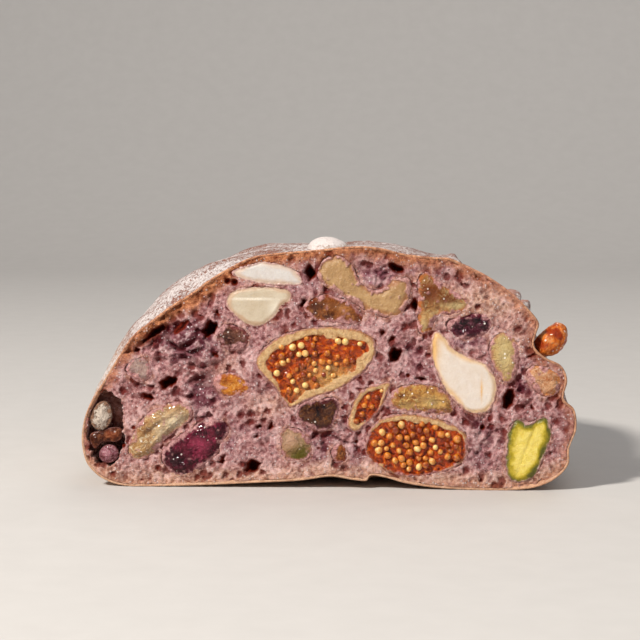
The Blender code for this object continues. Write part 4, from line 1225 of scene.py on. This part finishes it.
def build_nuts(put):
    """The almonds in the cut, the walnut and the pistachio."""
    white = nut_finish("almond_white", (216, 211, 207), (200, 188, 178), (206, 164, 130))
    cream = nut_finish("almond_cream", (211, 198, 176), (188, 169, 142), (182, 136, 100))
    warm = nut_finish("almond_warm", (229, 218, 208), (214, 196, 178), (220, 168, 92))
    walnut = nut_finish("walnut_cut", (200, 162, 112), (156, 116, 72), (158, 88, 46),
                        rough=0.38, bump=0.25, size=1.1)
    put("almond_crescent", "almond", white, flat_cut(0.15, 0.9), 6.0, stuck=0.15)
    put("almond_half", "almond", cream, flat_cut(0.15, 0.7), 6.5,
        {"light": [(-18, 45.4, 7, 0.25, 0.8), (-12, 42.5, 1.5, 3, 0.5)]}, stuck=0.1)
    put("almond_right", "almond", warm, flat_cut(0.2, 0.8), 7.0,
        {"crease": [(36.6, 24.0, 0.22, 2.2, 1.0), (25.2, 34.5, 1.6, 5.0, 0.8)]}, stuck=0.15)
    put("walnut", "walnut", walnut, flat_cut(0.3, 1.6, 0.12), 6.0,
        {"dark": [(17.5, 49.0, 2.5, 2.5, 0.8)]}, ragged=0.45)

    def crease(place):
        return {"crease": middle_crease(place) * smooth_step((place["flat"][:, 1] - 8) / 5)}

    put("pistachio", "pistachio", pistachio_finish(), flat_cut(0.25, 1.0, 0.07, crease=0.12), 5.5,
        stuck=0.2, more_masks=crease)


def build_figs(put):
    """The three cut figs and their seeds."""
    flesh, seeds = fig_finish(), seed_finish()

    def fig(node, relief, depth, heart, stuck):
        return put(node, "fig", flesh, relief, depth, {"light": heart}, ring_depth=0.0, stuck=stuck,
                   more_masks=lambda place: {"rind": rind_share(place)})

    relief = fig_relief([(-12, 22, 5, 4, 0.8), (-5, 19, 6, 3, 0.5)], 2.1)
    mouth = fig("fig_middle", relief, 7.0, [(1.5, 26.5, 6.0, 3.2, 1.0), (-5.5, 23.0, 3.5, 2.0, 0.5)], 0.2)
    bare = [(3.5, 26.0, 6.0, 2.6, 0.95), (6, 34, 6, 4, 0.95)]
    seed_cluster("fig_middle", mouth, 1.4, 44, 0.78, 3, seeds, bare, 1.3)
    relief = fig_relief([(10, 8, 4, 9, 1.0), (23, 1, 17, 7, 1.0), (33, 9, 4, 5, 0.8)])
    mouth = fig("fig_lower", relief, 7.0, [], 0.3)
    bare = [(12.5, 6.0, 3.0, 3.0, 0.9), (24, 4.5, 7, 1.4, 0.9), (17, 10, 1.5, 2.5, 0.7)]
    seed_cluster("fig_lower", mouth, 1.5, 50, 0.86, 5, seeds, bare, 0.7)
    mouth = fig("fig_side", fig_relief([(11, 17, 3, 6, 1.0)]), 5.0, [], 0.2)
    seed_cluster("fig_side", mouth, 1.7, 8, 0.66, 11, seeds, rind=0.6)


def build_amber_fruit(put):
    """The brown, the pale and the orange raisins."""
    amber = soft_fruit("raisin_amber")
    put("raisin_amber", "raisin_amber", amber, domed(0.1, 1.6, 0.35, 2.4, 71), 4.5,
        {"dark": [(-3.2, 44.0, 2.2, 1.6, 0.9)], "light": [(4.0, 43.2, 2.0, 1.2, 0.8)]})
    put("raisin_amber_low", "raisin_amber", amber, domed(0.0, 0.8, 0.2, 1.4, 72), 3.0)
    put("raisin_brown_left", "raisin_amber", soft_fruit("raisin_brown"),
        domed(-0.1, 1.6, 0.3, 1.4, 73, drop=0.7), 6.1, grow=0.1, stuck=0)
    put("raisin_pale_left", "raisin_amber", soft_fruit("raisin_pale"), domed(0.0, 0.8, 0.12, 1.8, 74), 3.5,
        stuck=0.7, ragged=0.6)
    put("raisin_peach_right", "raisin_amber", soft_fruit("raisin_peach"),
        domed(0.75, 1.4, 0.25, 1.5, 75), 4.5, stuck=0.6, ragged=0.5)
    put("raisin_orange_left", "raisin_orange", soft_fruit("raisin_orange"),
        domed(0.1, 1.0, 0.25, 1.8, 76), 4.0, stuck=0.9, ragged=0.6)


def build_golden_fruit(put):
    """The golden and the green-gold raisins."""
    put("raisin_golden_left", "raisin_golden", soft_fruit("raisin_golden"),
        domed(0.6, 1.8, 0.35, 2.2, 77, ridges=0.5), 5.0,
        {"light": [(-36, 15.5, 3.5, 2.5, 0.8), (-39.5, 11.5, 2.0, 4.0, 0.6)]})
    put("raisin_golden_centre", "raisin_golden", soft_fruit("raisin_amber_gold"),
        domed(0.5, 1.5, 0.3, 2.0, 78, ridges=0.3), 4.5,
        {"light": [(25, 21, 3, 1.5, 0.6), (19, 20, 2, 1.2, 0.5)]})
    put("raisin_green_right", "raisin_golden", soft_fruit("raisin_green"),
        domed(0.3, 1.4, 0.25, 2.2, 79), 4.5, {"light": [(42.0, 33.0, 2.2, 6.0, 0.7)]}, stuck=0.6)
    put("raisin_green_top", "raisin_golden", soft_fruit("raisin_tawny"), domed(0.1, 1.2, 0.4, 2.4, 80), 5.0,
        {"dark": [(24.5, 47.2, 3.2, 3.2, 1.0), (28.0, 45.5, 3.0, 0.7, 0.8)],
         "light": [(30.5, 43.9, 3.0, 1.0, 0.8), (22.8, 39.5, 1.0, 2.5, 0.6), (26.5, 42.0, 3.0, 1.0, 0.5)]},
        ragged=0.5)
    put("raisin_green_low", "raisin_golden", soft_fruit("raisin_moss"), domed(0.1, 1.2, 0.3, 1.6, 81), 4.0,
        {"dark": [(-6.5, 7.6, 2.8, 2.4, 1.0)], "light": [(-9.0, 12.0, 3.0, 2.0, 0.8)]}, ragged=0.5)


def build_dark_fruit(put):
    """The dark raisins and berries, and the two pieces in the hollow."""
    put("raisin_dark_centre", "fruit_dark", soft_fruit("raisin_olive"), domed(0.3, 1.6, 0.35, 1.8, 82), 4.5,
        ragged=0.5, stuck=0.3)
    put("raisin_dark_left", "fruit_dark", soft_fruit("raisin_umber"), domed(0.2, 1.2, 0.4, 1.5, 83), 4.0,
        ragged=0.6, stuck=0.6)
    put("berry_dark_right", "fruit_dark", soft_fruit("fruit_dark"), domed(0.05, 1.2, 0.5, 1.1, 84), 4.5,
        ragged=0.8, grow=1.1)
    put("cranberry", "fruit_dark", soft_fruit("cranberry"), domed(0.8, 1.8, 0.5, 1.5, 85, ridges=0.3), 5.5,
        {"light": [(-30.5, 10.5, 2.2, 1.6, 0.7)], "dark": [(-36, 6.5, 3.2, 3.0, 0.9)]}, ragged=0.6, grow=0.8)
    put("currant_left", "fruit_dark", soft_fruit("currant_rosy"),
        domed(0.3, 1.9, 0.2, 1.2, 86, drop=0.9), 6.1, grow=0.1, convex=True, stuck=0)
    put("nut_dusted", "nut_dusted", sugar_finish(),
        domed(0.4, 2.4, 0.6, 0.9, 87, drop=0.9), 6.1, grow=0.1, stuck=0)


def build_fruit():
    """Every fruit and nut but the one on top. Returns the mouths and depths of the pockets in the crumb."""
    pockets = []

    def put(node, slot, material, relief, depth, zone_masks=None, **more):
        mouth = build_in_cut(node, slot, material, relief, depth, zone_masks, **more)
        pockets.append((mouth, depth + POCKET_ROOM))
        return mouth

    build_nuts(put)
    build_figs(put)
    build_amber_fruit(put)
    build_hanging_raisin(soft_fruit("raisin_vivid"))
    build_golden_fruit(put)
    build_dark_fruit(put)
    return pockets


# Stage, lights and camera


def build_stage():
    """A pale floor that curves up into a pale backdrop."""
    profile = [(-1.2, 0.0), (0.7, 0.0)]
    bend = np.linspace(0, math.pi / 2, 16)[1:]
    profile += [(0.7 + 0.5 * math.sin(a), 0.5 - 0.5 * math.cos(a)) for a in bend]
    profile.append((1.2, 2.4))
    places = [(x, y, z) for y, z in profile for x in (-2.5, 2.5)]
    faces = [(2 * i, 2 * i + 1, 2 * i + 3, 2 * i + 2) for i in range(len(profile) - 1)]
    mesh = bpy.data.meshes.new("floor")
    mesh.from_pydata(places, [], faces)
    mesh.shade_smooth()
    made, paint, shader = finish("pale_floor", roughness=0.7)
    paint.join(paint.mix(paint.noise(9.0), (196, 191, 186), (204, 199, 194)), shader.inputs["Base Color"])
    mesh.materials.append(made)
    floor = bpy.data.objects.new("floor", mesh)
    bpy.context.scene.collection.objects.link(floor)


def add_light(name, azimuth, elevation, distance, size, power, colour):
    """A square studio light that points at the loaf. Azimuth 0 is before the cut, positive to the right."""
    data = bpy.data.lights.new(name, "AREA")
    data.shape, data.size, data.energy, data.color = "SQUARE", size, power, colour
    light = bpy.data.objects.new(name, data)
    a, e = math.radians(azimuth), math.radians(elevation)
    place = Vector((math.sin(a) * math.cos(e), -math.cos(a) * math.cos(e), math.sin(e))) * distance
    light.location = place
    light.rotation_euler = (place - Vector((0, -0.02, 0.03))).to_track_quat("Z", "Y").to_euler()
    bpy.context.scene.collection.objects.link(light)


def add_world():
    """A faint even light from all around."""
    world = bpy.data.worlds.new("studio")
    bpy.context.scene.world = world
    world.use_nodes = True
    colour, strength = world.node_tree.nodes["Background"].inputs[:2]
    colour.default_value, strength.default_value = (0.86, 0.9, 1.0, 1.0), 0.2
    bpy.context.scene.view_settings.view_transform = "Standard"


def add_camera():
    """The camera at the photograph's angle."""
    data = bpy.data.cameras.new("camera")
    data.sensor_width = SENSOR
    data.lens = FOCAL_PIXELS / PICTURE_PIXELS * SENSOR
    camera = bpy.data.objects.new("camera", data)
    camera.location = Vector(EYE) * MM
    camera.rotation_euler = (math.radians(90 - PITCH), 0, math.radians(YAW))
    bpy.context.scene.collection.objects.link(camera)
    bpy.context.scene.camera = camera


def main():
    """The whole scene."""
    add_camera()
    build_stage()
    for light in LIGHTS:
        add_light(*light)
    add_world()
    crust = crust_finish()
    pockets = build_fruit()
    hollow = roughened(closed_spline(HOLLOW, HOLLOW_SIDES), 0.6, 0.45, 400)
    build_crumb(crumb_finish(), [*pockets, (hollow, HOLLOW_DEPTH)])
    build_crust(crust)
    build_top_almond(crust)


main()
